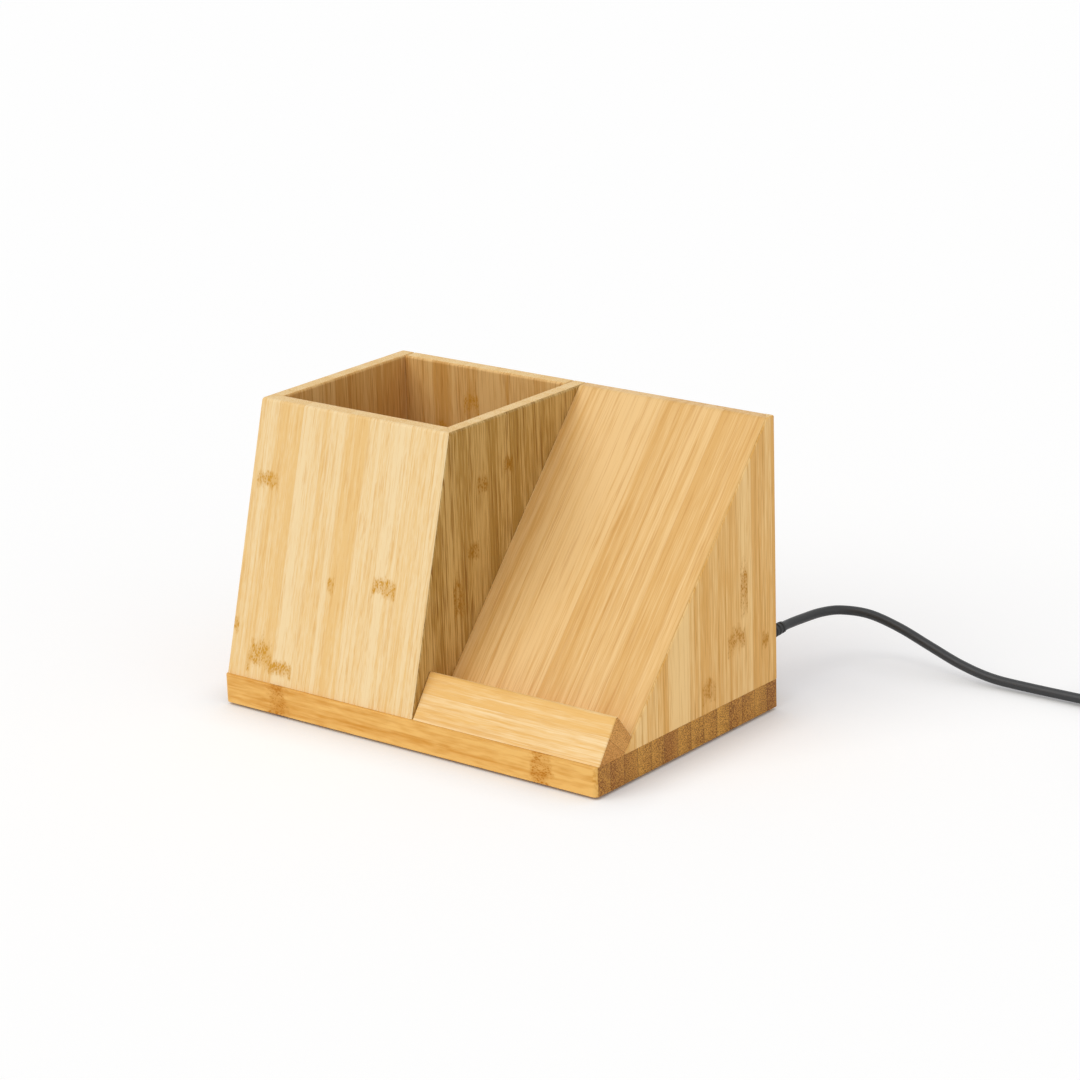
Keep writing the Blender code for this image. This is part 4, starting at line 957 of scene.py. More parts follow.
cup_wall("cup_front", front_wall_plan, front_finish, "cup_front_wall")
cup_wall("cup_left", lambda z: side_wall_plan(z, False), side_finish, "cup_left_wall")
cup_wall("cup_divider", lambda z: side_wall_plan(z, True), divider_shaded_finish, "divider_wall")
cup_wall("cup_back", back_wall_plan, back_finish, "cup_back_wall")

# The stand: a sloped panel with the charger's pocket milled into its hidden face, a cheek cut to the slope
# and mitred to the panel at the right, and an upright back panel with the plug's slot. All three are glued.
PANEL_LOOKS = {
    "Pale": (0.84, 0.55, 0.23, 1.0),
    "Golden": (0.72, 0.41, 0.12, 1.0),
    "Streak": (0.50, 0.215, 0.04, 1.0),
    "Streak Depth": 0.35,
    "Fibre Shortness": 0.30,
    "Fibre Contrast": 0.7,
    "Joint Amount": 0.35,
}
panel_finish = bamboo(
    "panel_bamboo",
    across=(1, 0, 0),
    along=UP_SLOPE,
    strip=0.0125,
    seed=5.0,
    looks=PANEL_LOOKS,
    origin=(CUP_RIGHT, STAND_FRONT, SLAB_TOP),
    ends=RIM_LOOKS,
)
panel_left, stand_right = CUP_RIGHT + HAIRLINE, RIGHT - BOARD - HAIRLINE
PANEL_MIDDLE = (0.0405, 0.01025, 0.06628)
POCKET_RADIUS, POCKET_MOUTH, POCKET_FLOOR = 0.0275, -0.008, -0.0028


def slope_corner(z, start, end):
    """The rounded outer corner of the slope in plan at a height, as seen square to the slope."""
    turned = arc((RIGHT - CORNER_ROUND, CORNER_ROUND), CORNER_ROUND, start, end)
    return [(x, slope_front(z) + depth / math.sin(SLOPE_ANGLE)) for x, depth in turned]


def panel_plan(z):
    """The sloped panel's outline at a height, its right end cut to the mitre."""
    y = slope_front(z)
    corner = [(x - HAIRLINE, py) for x, py in slope_corner(z, 270, 315)]
    return [(panel_left, y), *corner, (stand_right, y + PANEL_RUN), (panel_left, y + PANEL_RUN)]


def panel_rounding(p, q):
    """Rounded along both edges of the flat top."""
    beside_divider = max(p.x, q.x) < panel_left + HAIRLINE
    return 0.0 if beside_divider else rim_rounding(p, q)


panel_ends = [level(panel_plan(z), z) for z in (ON_SLAB, TOP)]
panel = board("sloped_panel", *panel_ends, panel_finish, panel_rounding, trim=BACK)
tilt = Matrix.Translation(PANEL_MIDDLE) @ Matrix.Rotation(SLOPE_ANGLE, 4, "X")
ring = circle((0, 0), POCKET_RADIUS, 96)
pocket = board("pocket", level(ring, POCKET_MOUTH), level(ring, POCKET_FLOOR), None)
pocket.data.transform(tilt)
carve(panel, pocket)
hand_in(panel, "charging_panel")

cheek_finish = bamboo(
    "cheek_bamboo",
    across=(0, 1, 0),
    along=(0, 0, 1),
    strip=0.0062,
    seed=29.0,
    looks={
        **SIDE_LOOKS,
        "Pale": (1.0, 0.665, 0.275, 1.0),
        "Golden": (0.84, 0.455, 0.115, 1.0),
        "Streak": (0.58, 0.26, 0.03, 1.0),
        "Knot": (0.56, 0.230, 0.002, 1.0),
        "Tone Spread": 1.1,
        "Joint Amount": 0.0,
    },
    marks=(
        (0.0324, 0.0505, 0.0024, 0.0110, 0.1),
        (0.0275, 0.0342, 0.0056, 0.0052, 0.6),
        (0.0109, 0.0198, 0.0044, 0.0050, 0.5),
        (0.0450, 0.0282, 0.0022, 0.0036, 0.2),
    ),
    ends=RIM_LOOKS,
)


def cheek_plan(z):
    """The cheek's outline at a height: mitred and rounded where it meets the panel."""
    behind = BACK + BOARD
    inner = [(RIGHT - BOARD, behind), (RIGHT - BOARD, slope_front(z) + PANEL_RUN)]
    return [*inner, *slope_corner(z, 315, 360), (RIGHT, behind)]


def cheek_rounding(p, q):
    """Rounded along the top, and down the back corner."""
    down_the_back = min(p.x, q.x) > RIGHT - HAIRLINE and min(p.y, q.y) > BACK - HAIRLINE
    return CORNER_ROUND if down_the_back else rim_rounding(p, q)


cheek_ends = [level(cheek_plan(z), z) for z in (ON_SLAB, TOP)]
hand_in(board("cheek", *cheek_ends, cheek_finish, cheek_rounding, trim=BACK), "stand_cheek")


def under_panel(y):
    """How high the panel's hidden face is at a depth, less a hairline."""
    return SLAB_TOP + (y - STAND_FRONT - PANEL_RUN) * math.tan(SLOPE_ANGLE) - HAIRLINE


lower = BACK - BOARD
back_sides = ((lower, ON_SLAB), (lower, under_panel(lower)), (BACK, under_panel(BACK)), (BACK, ON_SLAB))
back_ends = [along_x(x, back_sides) for x in (panel_left, stand_right)]
back_panel = board("back_panel", *back_ends, back_finish)
SLOT_WIDTH, SLOT_HEIGHT, SLOT_CORNER = 0.0126, 0.0076, 0.00253
PORT_X, PORT_Z = 0.0660, 0.0187


def rounded_box(width, height, radius, steps=6):
    """The outline of a rectangle with rounded corners, about its middle."""
    outline = []
    for sx, sy, start in ((1, 1, 0), (-1, 1, 90), (-1, -1, 180), (1, -1, 270)):
        middle = (sx * (width / 2 - radius), sy * (height / 2 - radius))
        outline += arc(middle, radius, start, start + 90, steps)
    return outline


def upright(outline, x, y, z):
    """An outline stood up across the depth, about a point."""
    return [(x + px, y, z + pz) for px, pz in outline]


slot = rounded_box(SLOT_WIDTH, SLOT_HEIGHT, SLOT_CORNER, 8)
slot_ends = [upright(slot, PORT_X, y, PORT_Z) for y in (lower - BOARD, BACK + BOARD)]
carve(back_panel, board("slot", *slot_ends, None))
hand_in(back_panel, "stand_back_panel")

# The rest bar: a solid bar glued along the foot of the slope, over the stand's whole width. Its seat leans to
# the panel behind a low rounded lip, and its front runs down flush with the slab's. BAR_SIDES has the depth
# and height of its toe, its lip, the foot of its seat and its heel.
BAR_SIDES = ((-0.0519, ON_SLAB), (-0.04122, 0.02691), (-0.03351, 0.01705), (-0.03808, ON_SLAB))
BAR_GRAIN_ORIGIN = (0.0, -0.04696, 0.02037)
LIP_ROUND, BAR_END_ROUND = 0.0020, 0.0006
SEAT_LEVEL = 0.020
bar_finish = bamboo(
    "bar_bamboo",
    across=UP_SLOPE,
    along=(-1, 0, 0),
    strip=0.0089,
    seed=19.0,
    looks={
        "Pale": (0.92, 0.68, 0.36, 1.0),
        "Golden": (0.82, 0.48, 0.14, 1.0),
        "Streak": (0.66, 0.31, 0.05, 1.0),
        "Streak Depth": 0.30,
        "Fibre Shortness": 0.45,
        "Fibre Contrast": 0.55,
        "Joint Amount": 0.0,
    },
    origin=BAR_GRAIN_ORIGIN,
    ends={
        "Light": (0.78, 0.385, 0.090, 1.0),
        "Dark": (0.60, 0.25, 0.045, 1.0),
        "Dot": (0.38, 0.15, 0.025, 1.0),
    },
)


def bar_rounding(p, q):
    """A round lip, and the upper edges of the two ends rounded a little."""
    if abs(p.x - q.x) < BOARD:
        return BAR_END_ROUND if max(p.z, q.z) > ON_SLAB + BOARD else 0.0
    return LIP_ROUND if p.z > SEAT_LEVEL else 0.0


bar_ends = [along_x(x, BAR_SIDES) for x in (panel_left, RIGHT)]
bar = board("rest_bar", *bar_ends, bar_finish, bar_rounding)
hand_in(bar, "phone_rest_bar")

# The charger behind the slope: a flat coil of enamelled wire in the panel's pocket, with a dark ferrite sheet
# under it. Both are held by a moulded tray that four small screws fix to the panel's hidden face.
COIL_WIRE = 0.0011
WINDING_LEVEL = -0.00365
WINDING_TURNS = 7
WINDING_INNER, WINDING_PITCH = 0.0105, 0.0016
INNER_LEAD, OUTER_LEAD = 0.0066, 0.0249
LEAD_TURN, LEAD_BEND = 0.3, COIL_WIRE * 1.5
BOARD_FRONT, BOARD_REAR = -0.0104, -0.0120
TRAY_REAR = -0.0079
TRAY_SCREWS = [(x, y, TRAY_REAR) for x in (-0.0275, 0.0275) for y in (-0.0265, 0.0265)]
TRAY_SCREW_LENGTH = 0.0042
METAL_LINES, METAL_SMUDGES = (5200.0, 260.0, 5200.0), (380.0, 380.0, 380.0)
SCREW_SIZES = {
    "Shank": 0.0011,
    "Head": 0.0020,
    "Head Height": 0.0013,
    "Length": 0.0042,
    "Point": 0.0012,
    "Pitch": 0.00055,
    "Recess": 0.0021,
    "Steel": None,
}


def on_coil(turn, radius):
    """A place on the coil's level, some turns round from +X."""
    angle = 2 * math.pi * turn
    return Vector((radius * math.cos(angle), radius * math.sin(angle), WINDING_LEVEL))


def lead_down(turn, radius, way):
    """A lead's end, which bends out of the coil's level and goes straight down to the circuit board."""
    angle = 2 * math.pi * turn
    ahead = Vector((-math.sin(angle), math.cos(angle), 0)) * way
    points = []
    for i in range(1, 9):
        swing = math.pi / 2 * i / 8
        drop = Vector((0, 0, LEAD_BEND * (1 - math.cos(swing))))
        points.append(on_coil(turn, radius) + ahead * LEAD_BEND * math.sin(swing) - drop)
    return [*points, Vector((points[-1].x, points[-1].y, BOARD_FRONT + HAIRLINE))]


def eased(share):
    """A share of the way that sets off and stops gently."""
    return share * share * (3 - 2 * share)


def winding_points(steps):
    """The coil's wire: up through the ferrite's bore, seven turns outwards, and back beside the ferrite."""
    widest = WINDING_INNER + WINDING_PITCH * WINDING_TURNS
    part = round(LEAD_TURN * steps)
    points = list(reversed(lead_down(-LEAD_TURN, INNER_LEAD, -1)))
    for share in (i / part for i in range(part)):
        radius = INNER_LEAD + (WINDING_INNER - INNER_LEAD) * eased(share)
        points.append(on_coil(-LEAD_TURN * (1 - share), radius))
    for turn in (i / steps for i in range(WINDING_TURNS * steps + 1)):
        points.append(on_coil(turn, WINDING_INNER + WINDING_PITCH * turn))
    for share in (i / part for i in range(1, part + 1)):
        radius = widest + (OUTER_LEAD - widest) * eased(share)
        points.append(on_coil(WINDING_TURNS + LEAD_TURN * share, radius))
    return points + lead_down(WINDING_TURNS + LEAD_TURN, OUTER_LEAD, 1)


def tube(name, points, diameter, finish, sides=4):
    """A round tube along the points, with filled ends."""
    curve = bpy.data.curves.new(name, "CURVE")
    curve.dimensions = "3D"
    curve.bevel_depth = diameter / 2
    curve.bevel_resolution = sides
    curve.use_fill_caps = True
    line = curve.splines.new("POLY")
    line.points.add(len(points) - 1)
    for target, p in zip(line.points, points):
        target.co = (*p, 1.0)
    line.use_smooth = True
    curve.materials.append(finish)
    made = bpy.data.objects.new(name, curve)
    bpy.context.collection.objects.link(made)
    return made


def make_metal_group():
    """Drawn or turned metal: fine scratches along it, and smudges in its gloss."""
    looks = {"Base": (0.6, 0.6, 0.6, 1.0), "Dullness": 0.3, "Scratches": 0.5, "Smudges": 0.5}
    tree, given = node_group("worked_metal", looks)
    x, y, z = axes(tree, given["Place"])
    lines = noise(tree, scaled(tree, x, y, z, METAL_LINES), 3.0, 0.65)
    smudge = noise(tree, scaled(tree, x, y, z, METAL_SMUDGES), 3.0, 0.6)
    scratch = calc(tree, "MULTIPLY", spread(tree, lines, 0.50, 0.66), given["Scratches"])
    shade = calc(tree, "MULTIPLY_ADD", scratch, -0.14, calc(tree, "MULTIPLY_ADD", smudge, 0.20, 0.90))
    dull = calc(tree, "MULTIPLY_ADD", scratch, 0.20, given["Dullness"])
    dull = calc(tree, "MULTIPLY_ADD", calc(tree, "MULTIPLY", smudge, given["Smudges"]), 0.25, dull)
    relief = calc(tree, "MULTIPLY", lines, given["Scratches"])
    add_node(tree, "NodeGroupOutput", shaded(tree, given["Base"], shade), dull, relief)
    return tree


def make_screw_tree():
    """A pan head screw on each place, its shank along +Z: domed head, cross recess, thread and point."""
    tree, given = geometry_tree("cross_head_screws", SCREW_SIZES)
    whole = calc(tree, "ADD", given["Length"], given["Head Height"])
    place = calc(tree, "SUBTRACT", calc(tree, "MULTIPLY", along_curve(tree), whole), given["Head Height"])
    above = calc(tree, "MULTIPLY", calc(tree, "DIVIDE", place, given["Head Height"]), -0.97)
    dome = calc(tree, "SUBTRACT", 1.0, calc(tree, "POWER", calc(tree, "MAXIMUM", above, 0.0), 3.0))
    dome = calc(tree, "MULTIPLY", calc(tree, "SQRT", calc(tree, "MAXIMUM", dome, 0.0)), given["Head"])
    core = calc(tree, "MULTIPLY", given["Shank"], 0.80)
    taper = calc(tree, "DIVIDE", calc(tree, "SUBTRACT", given["Length"], place), given["Point"])
    in_head = calc(tree, "LESS_THAN", place, 0.0)
    shank = calc(tree, "MULTIPLY", core, clamped(tree, taper, 0.06, 1.0))
    shank = calc(tree, "MULTIPLY", shank, calc(tree, "SUBTRACT", 1.0, in_head))
    radius = calc(tree, "MULTIPLY_ADD", dome, in_head, shank)
    ring = form(tree, "CurvePrimitiveCircle", {"Resolution": 24, "Radius": 1.0})
    low = above_origin(tree, calc(tree, "MULTIPLY", given["Head Height"], -1.0))
    body = swept(tree, low, above_origin(tree, given["Length"]), 72, ring, radius)

    deep = calc(tree, "MULTIPLY", given["Head Height"], 1.2)
    narrow = calc(tree, "MULTIPLY", given["Recess"], 0.24)
    for width, depth in ((given["Recess"], narrow), (narrow, given["Recess"])):
        size = add_node(tree, "ShaderNodeCombineXYZ", width, depth, deep).outputs[0]
        bar = form(tree, "MeshCube", {"Size": size})
        cutter = form(tree, "Transform", {"Geometry": bar, "Translation": low})
        body = form(tree, "MeshBoolean", {"Mesh 1": body, "Mesh 2": cutter}, operation="DIFFERENCE")

    threaded = calc(tree, "SUBTRACT", given["Length"], given["Point"])
    helix = {
        "Resolution": 18,
        "Rotations": calc(tree, "DIVIDE", threaded, given["Pitch"]),
        "Start Radius": core,
        "End Radius": core,
        "Height": threaded,
    }
    spiral = form(tree, "CurveSpiral", helix)
    crest = calc(tree, "MULTIPLY", given["Pitch"], 0.38)
    ridge = form(tree, "CurvePrimitiveCircle", {"Resolution": 4, "Radius": crest})
    thread = along_line(tree, spiral, ridge, 1.0)
    join = tree.nodes.new("GeometryNodeJoinGeometry")
    for part in (body, thread):
        tree.links.new(part, join.inputs[0])
    return close_tree(tree, given["Geometry"], join.outputs[0], (given["Steel"], True))


def dress(finish, *nodes):
    """Give the pieces that keep their CAD shape their finish."""
    for node in nodes:
        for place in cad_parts[node].material_slots:
            place.material = finish


metal_group = make_metal_group()
copper = surface(
    "wound_copper",
    metal_group,
    {"Base": (0.62, 0.235, 0.085, 1.0), "Dullness": 0.26, "Scratches": 0.3, "Smudges": 0.4},
    {"Metallic": 0.9, "Coat Weight": 0.4},
)
winding = tube("winding", [tilt @ p for p in winding_points(40)], COIL_WIRE, copper, 3)
hand_in(winding, "charging_coil")

ferrite = surface(
    "ferrite",
    moulded_group,
    {"Base": (0.040, 0.040, 0.044, 1.0), "Dullness": 0.62, "Grain": 1900.0, "Clouding": 0.7, "Speckle": 0.9},
    {"Specular IOR Level": 0.45},
    relief=0.00003,
)
tray_plastic = surface(
    "tray_plastic",
    moulded_group,
    {"Base": (0.026, 0.027, 0.029, 1.0), "Dullness": 0.50, "Grain": 2100.0, "Clouding": 0.3},
    {"Specular IOR Level": 0.4},
)
dress(ferrite, "ferrite_sheet")
dress(tray_plastic, "coil_tray", "socket_bracket")

screw_steel = surface(
    "screw_steel",
    metal_group,
    {"Base": (0.50, 0.50, 0.49, 1.0), "Dullness": 0.28, "Scratches": 0.6, "Smudges": 0.6},
    {"Metallic": 1.0},
)
screw_tree = make_screw_tree()


def screws(name, places, length, nodes, turn):
    """A set of like screws in their places."""
    made = grown(name, screw_tree, places, {**SCREW_SIZES, "Length": length, "Steel": screw_steel}, turn)
    hand_in(made, nodes)


screws("tray_screws", TRAY_SCREWS, TRAY_SCREW_LENGTH, [f"tray_screw_{i}" for i in (1, 2, 3, 4)], tilt)

# The charger's circuit: a green board on two posts of the tray, with a driver chip, a bridge chip, four
# ceramic capacitors and a wound inductor soldered to its free face. Two screws hold it.
BOARD_SCREWS = [(-0.0245, -0.0135, BOARD_REAR), (0.0245, 0.0135, BOARD_REAR)]
BOARD_SCREW_LENGTH = 0.0032
LACQUER_GRAIN = (2400.0, 2400.0, 2400.0)
CHIP_GAP, CHIP_EDGE = 0.0002, 0.0001
DIMPLE_INSET, DIMPLE_RADIUS, DIMPLE_DEPTH = 0.0009, 0.00035, 0.0001
LEG_SIZE = (0.0004, 0.0006, 0.00022)
LEG_PITCH, LEG_REACH, LEG_EDGE = 0.0008, 0.0029, 0.00004
CAPACITOR_SIZE = (0.0032, 0.0025, 0.0019)
CAPACITOR_PITCH, CAPACITOR_EDGE, CAPACITOR_END = 0.0042, 0.00018, 0.0005
CAPACITOR_ROW, CAPACITOR_LIFT = -0.011333, 0.0012


def make_circuit_group():
    """Green lacquer over copper lines and rings on a square grid."""
    looks = {
        "Mask": (0.006, 0.085, 0.032, 1.0),
        "Covered": (0.020, 0.175, 0.060, 1.0),
        "Bare": (0.70, 0.43, 0.13, 1.0),
        "Grid": 0.0016,
    }
    tree, given = node_group("circuit_lacquer", looks)
    x, y, z = axes(tree, given["Place"])
    cells = [calc(tree, "DIVIDE", value, given["Grid"]) for value in (x, y)]
    key = [calc(tree, "FLOOR", value) for value in cells]
    key = add_node(tree, "ShaderNodeCombineXYZ", *key, 0.0).outputs[0]
    random = add_node(tree, "ShaderNodeTexWhiteNoise", key).outputs["Value"]
    inside = [calc(tree, "SUBTRACT", calc(tree, "FRACT", value), 0.5) for value in cells]
    inside = [calc(tree, "ABSOLUTE", value) for value in inside]
    narrow = [spread(tree, value, 0.10, 0.14, 1.0, 0.0) for value in inside]
    upward = calc(tree, "MULTIPLY", calc(tree, "LESS_THAN", random, 0.42), narrow[0])
    sideways = calc(tree, "MULTIPLY", calc(tree, "GREATER_THAN", random, 0.5), narrow[1])
    lines = calc(tree, "MAXIMUM", upward, sideways)
    off = calc(tree, "ADD", *(calc(tree, "POWER", value, 2.0) for value in inside))
    off = calc(tree, "SQRT", off)
    ring = calc(tree, "MULTIPLY", spread(tree, off, 0.20, 0.24, 1.0, 0.0), spread(tree, off, 0.09, 0.12))
    ring = calc(tree, "MULTIPLY", ring, calc(tree, "GREATER_THAN", random, 0.90))
    colour = blend(tree, lines, given["Mask"], given["Covered"])
    colour = blend(tree, ring, colour, given["Bare"])
    grain = noise(tree, scaled(tree, x, y, z, LACQUER_GRAIN), 2.0)
    dull = calc(tree, "MULTIPLY_ADD", ring, -0.06, calc(tree, "MULTIPLY_ADD", grain, 0.12, 0.28))
    height = calc(tree, "MULTIPLY_ADD", ring, 1.0, calc(tree, "MULTIPLY", grain, 0.2))
    height = calc(tree, "MULTIPLY_ADD", lines, 0.8, height)
    add_node(tree, "NodeGroupOutput", colour, dull, height)
    return tree


def make_block_tree():
    """A row of blocks across X, each lying along Y: contacts, chip legs or capacitors with metal ends."""
    sizes = {
        "Pitch": 0.0005,
        "Count": 6,
        "Width": 0.0003,
        "Length": 0.0030,
        "Height": 0.0001,
        "Edge": 0.00003,
        "Terminal": 0.0,
        "Body": None,
        "Ends": None,
    }
    tree, given = geometry_tree("block_row", sizes)
    index = tree.nodes.new("GeometryNodeInputIndex").outputs[0]
    first, last = calc(tree, "LESS_THAN", index, 0.5), calc(tree, "GREATER_THAN", index, 2.5)
    ends = calc(tree, "ADD", first, last)
    half = calc(tree, "MULTIPLY", given["Length"], 0.5)
    side = calc(tree, "SUBTRACT", calc(tree, "MULTIPLY", calc(tree, "GREATER_THAN", index, 1.5), 2.0), 1.0)
    inset = calc(tree, "MULTIPLY", given["Edge"], calc(tree, "SUBTRACT", 1.0, ends))
    reach = calc(tree, "MULTIPLY", calc(tree, "SUBTRACT", half, inset), side)
    line = form(tree, "CurvePrimitiveLine", {"Start": (0.0, 0.0, 0.0), "End": (0.0, 1.0, 0.0)})
    line = form(tree, "ResampleCurve", {"Curve": line, "Count": 4})
    put = add_node(tree, "ShaderNodeCombineXYZ", 0.0, reach, 0.0).outputs[0]
    line = form(tree, "SetPosition", {"Geometry": line, "Position": put})
    narrower = calc(tree, "MULTIPLY", calc(tree, "DIVIDE", given["Edge"], given["Width"]), ends)
    size = calc(tree, "SUBTRACT", 1.0, narrower)
    box = form(tree, "CurvePrimitiveQuadrilateral", {"Width": given["Width"], "Height": given["Height"]})
    box = form(tree, "FilletCurve", {"Curve": box, "Radius": given["Edge"]}, mode="POLY")
    block = along_line(tree, line, box, size)

    step = add_node(tree, "ShaderNodeCombineXYZ", given["Pitch"], 0.0, 0.0).outputs[0]
    wide = calc(tree, "MULTIPLY", given["Pitch"], calc(tree, "SUBTRACT", given["Count"], 1.0))
    start = add_node(tree, "ShaderNodeCombineXYZ", calc(tree, "MULTIPLY", wide, -0.5), 0.0, 0.0).outputs[0]
    row = form(tree, "MeshLine", {"Count": given["Count"], "Start Location": start, "Offset": step})
    row = form(tree, "InstanceOnPoints", {"Points": row, "Instance": block})
    row = form(tree, "RealizeInstances", {"Geometry": row})
    along = axes(tree, tree.nodes.new("GeometryNodeInputPosition").outputs[0])[1]
    metal_from = calc(tree, "SUBTRACT", half, given["Terminal"])
    at_end = calc(tree, "GREATER_THAN", calc(tree, "ABSOLUTE", along), metal_from)
    return close_tree(tree, given["Geometry"], row, (given["Body"], True), (given["Ends"], at_end))


def block_row(name, turn, count, pitch, size, edge, body, ends=None, terminal=-0.001):
    """A row of blocks in its place. Without metal ends the whole block has one finish."""
    width, length, height = size
    sizes = {
        "Pitch": pitch,
        "Count": count,
        "Width": width,
        "Length": length,
        "Height": height,
        "Edge": edge,
        "Terminal": terminal,
        "Body": body,
        "Ends": ends or body,
    }
    return grown(name, block_tree, [(0, 0, 0)], sizes, turn)


def joined(first, *others):
    """Several finished meshes made one piece, each part keeping its finish."""
    for thing in (first, *others):
        if thing.modifiers:
            settle(thing)
    with bpy.context.temp_override(active_object=first, selected_editable_objects=[first, *others]):
        bpy.ops.object.join()
    even_out(first)
    return first


def moved(x, y, z, angle=0.0):
    """A place in the slope's frame, turned about its upright."""
    return tilt @ Matrix.Translation((x, y, z)) @ Matrix.Rotation(math.radians(angle), 4, "Z")


def chip(name, middle, size, legs, sides, node):
    """A black chip with a dimple at its first leg, and a row of legs on each side given in degrees."""
    width, length, height = size
    x, y = middle
    top = BOARD_REAR - CHIP_GAP
    face = top - height
    outline = rounded_box(width, length, 2 * CHIP_EDGE, 2)
    ends = [[tilt @ Vector((x + px, y + py, z)) for px, py in outline] for z in (top, face)]
    body = board(name, *ends, chip_black, lambda p, q: CHIP_EDGE, widest=CHIP_EDGE, segments=2)
    corner = (x - width / 2 + DIMPLE_INSET, y - length / 2 + DIMPLE_INSET)
    dimple = circle(corner, DIMPLE_RADIUS, 24)
    ends = [[tilt @ Vector((*p, z)) for p in dimple] for z in (face - OVERRUN, face + DIMPLE_DEPTH)]
    carve(body, board("dimple", *ends, None))
    parts = []
    for angle in sides:
        put = moved(x, y, top + CHIP_GAP / 2, angle) @ Matrix.Translation((0, LEG_REACH, 0))
        parts.append(block_row("legs", put, legs, LEG_PITCH, LEG_SIZE, LEG_EDGE, contact_tin))
    hand_in(joined(body, *parts), node)


block_tree = make_block_tree()
circuit = surface(
    "circuit_board", make_circuit_group(), {}, {"Specular IOR Level": 0.5}, relief=0.00003, along=UP_SLOPE
)
chip_black = surface(
    "chip_black",
    moulded_group,
    {"Base": (0.016, 0.016, 0.017, 1.0), "Dullness": 0.55, "Grain": 5200.0, "Clouding": 0.3, "Speckle": 0.5},
    {"Specular IOR Level": 0.4},
)
contact_tin = surface(
    "contact_tin",
    metal_group,
    {"Base": (0.66, 0.66, 0.64, 1.0), "Dullness": 0.30, "Scratches": 0.2, "Smudges": 0.8},
    {"Metallic": 1.0},
)
capacitor_tan = surface(
    "capacitor_tan",
    moulded_group,
    {"Base": (0.36, 0.24, 0.13, 1.0), "Dullness": 0.42, "Grain": 4200.0, "Clouding": 0.3, "Speckle": 0.35},
)
inductor_grey = surface(
    "inductor_grey",
    moulded_group,
    {"Base": (0.085, 0.085, 0.088, 1.0), "Dullness": 0.60, "Grain": 3000.0, "Clouding": 0.4, "Speckle": 0.8},
)
dress(circuit, "main_board", "socket_board")
chip("controller", (-0.0112, 0.0), (0.006, 0.006, 0.0010), 6, (0, 90, 180, 270), "controller_chip")
chip("bridge", (0.0, 0.0068), (0.005, 0.006, 0.0012), 4, (0, 180), "bridge_chip")
capacitors = block_row(
    "capacitors",
    moved(0.0, CAPACITOR_ROW, BOARD_REAR - CAPACITOR_LIFT),
    4,
    CAPACITOR_PITCH,
    CAPACITOR_SIZE,
    CAPACITOR_EDGE,
    capacitor_tan,
    contact_tin,
    CAPACITOR_END,
)
hand_in(capacitors, [f"tuning_capacitor_{i}" for i in (1, 2, 3, 4)])

# The inductor's ferrite spool, as radii and heights from its foot to the dish in its top, and its five turns.
SPOOL_FOOT = ((0.0026, 0.0), (0.0033, 0.0), (0.0035, 0.0002), (0.0035, 0.0006))
SPOOL_WAIST = ((0.0028, 0.0007), (0.0028, 0.0023))
SPOOL_TOP = ((0.0035, 0.0024), (0.0035, 0.0028), (0.0033, 0.0030), (0.0016, 0.0030), (0.0015, 0.0028))
TURNS, TURN_STEPS = 5, 32
TURN_WIRE, TURN_RADIUS, FIRST_TURN, TURN_PITCH = 0.00026, 0.0030, 0.00085, 0.00024
inductor_place = moved(0.014, 0.0, BOARD_REAR - CHIP_GAP / 2) @ Matrix.Rotation(math.pi, 4, "X")
rings = []
for radius, z in (*SPOOL_FOOT, *SPOOL_WAIST, *SPOOL_TOP):
    rings.append([inductor_place @ Vector((x, y, z)) for x, y in circle((0, 0), radius, 48)])
inductor = link_mesh("inductor", skin(rings), inductor_grey)
wire_turns = []
for turn in (i / TURN_STEPS for i in range(TURN_STEPS * TURNS + 1)):
    angle = 2 * math.pi * turn
    x, y = TURN_RADIUS * math.cos(angle), TURN_RADIUS * math.sin(angle)
    wire_turns.append(inductor_place @ Vector((x, y, FIRST_TURN + TURN_PITCH * turn)))
wire_turns = settle(tube("turns", wire_turns, TURN_WIRE, copper, 2))
hand_in(joined(inductor, wire_turns), "filter_inductor")
screws("board_screws", BOARD_SCREWS, BOARD_SCREW_LENGTH, ["board_screw_1", "board_screw_2"], tilt)

# The supply socket: a drawn metal shell with a contact tongue in it, on a small board over a moulded block
# that two long screws fix to the slab. A red and a black wire run from it up to the charger's board.
SOCKET_BOARD_TOP = 0.0169
SOCKET_SCREWS = [(x, -0.0377, -SOCKET_BOARD_TOP) for x in (0.05915, 0.07285)]
SOCKET_SCREW_LENGTH = 0.0085
TONGUE_WIDTH, TONGUE_HEIGHT, TONGUE_CORNER = 0.0062, 0.0006, 0.00015
TONGUE_REAR, TONGUE_TIP = 0.0392, 0.0440
CONTACT_SIZE = (0.00026, 0.0036, 0.00008)
CONTACT_COUNT, CONTACT_PITCH, CONTACT_EDGE = 12, 0.0005, 0.00001
WIRE, WIRE_SPACING, WIRE_START, WIRE_SINK = 0.0013, 0.0017, 0.0310, 0.0003
WIRE_PADS = (0.0187, -0.0157)


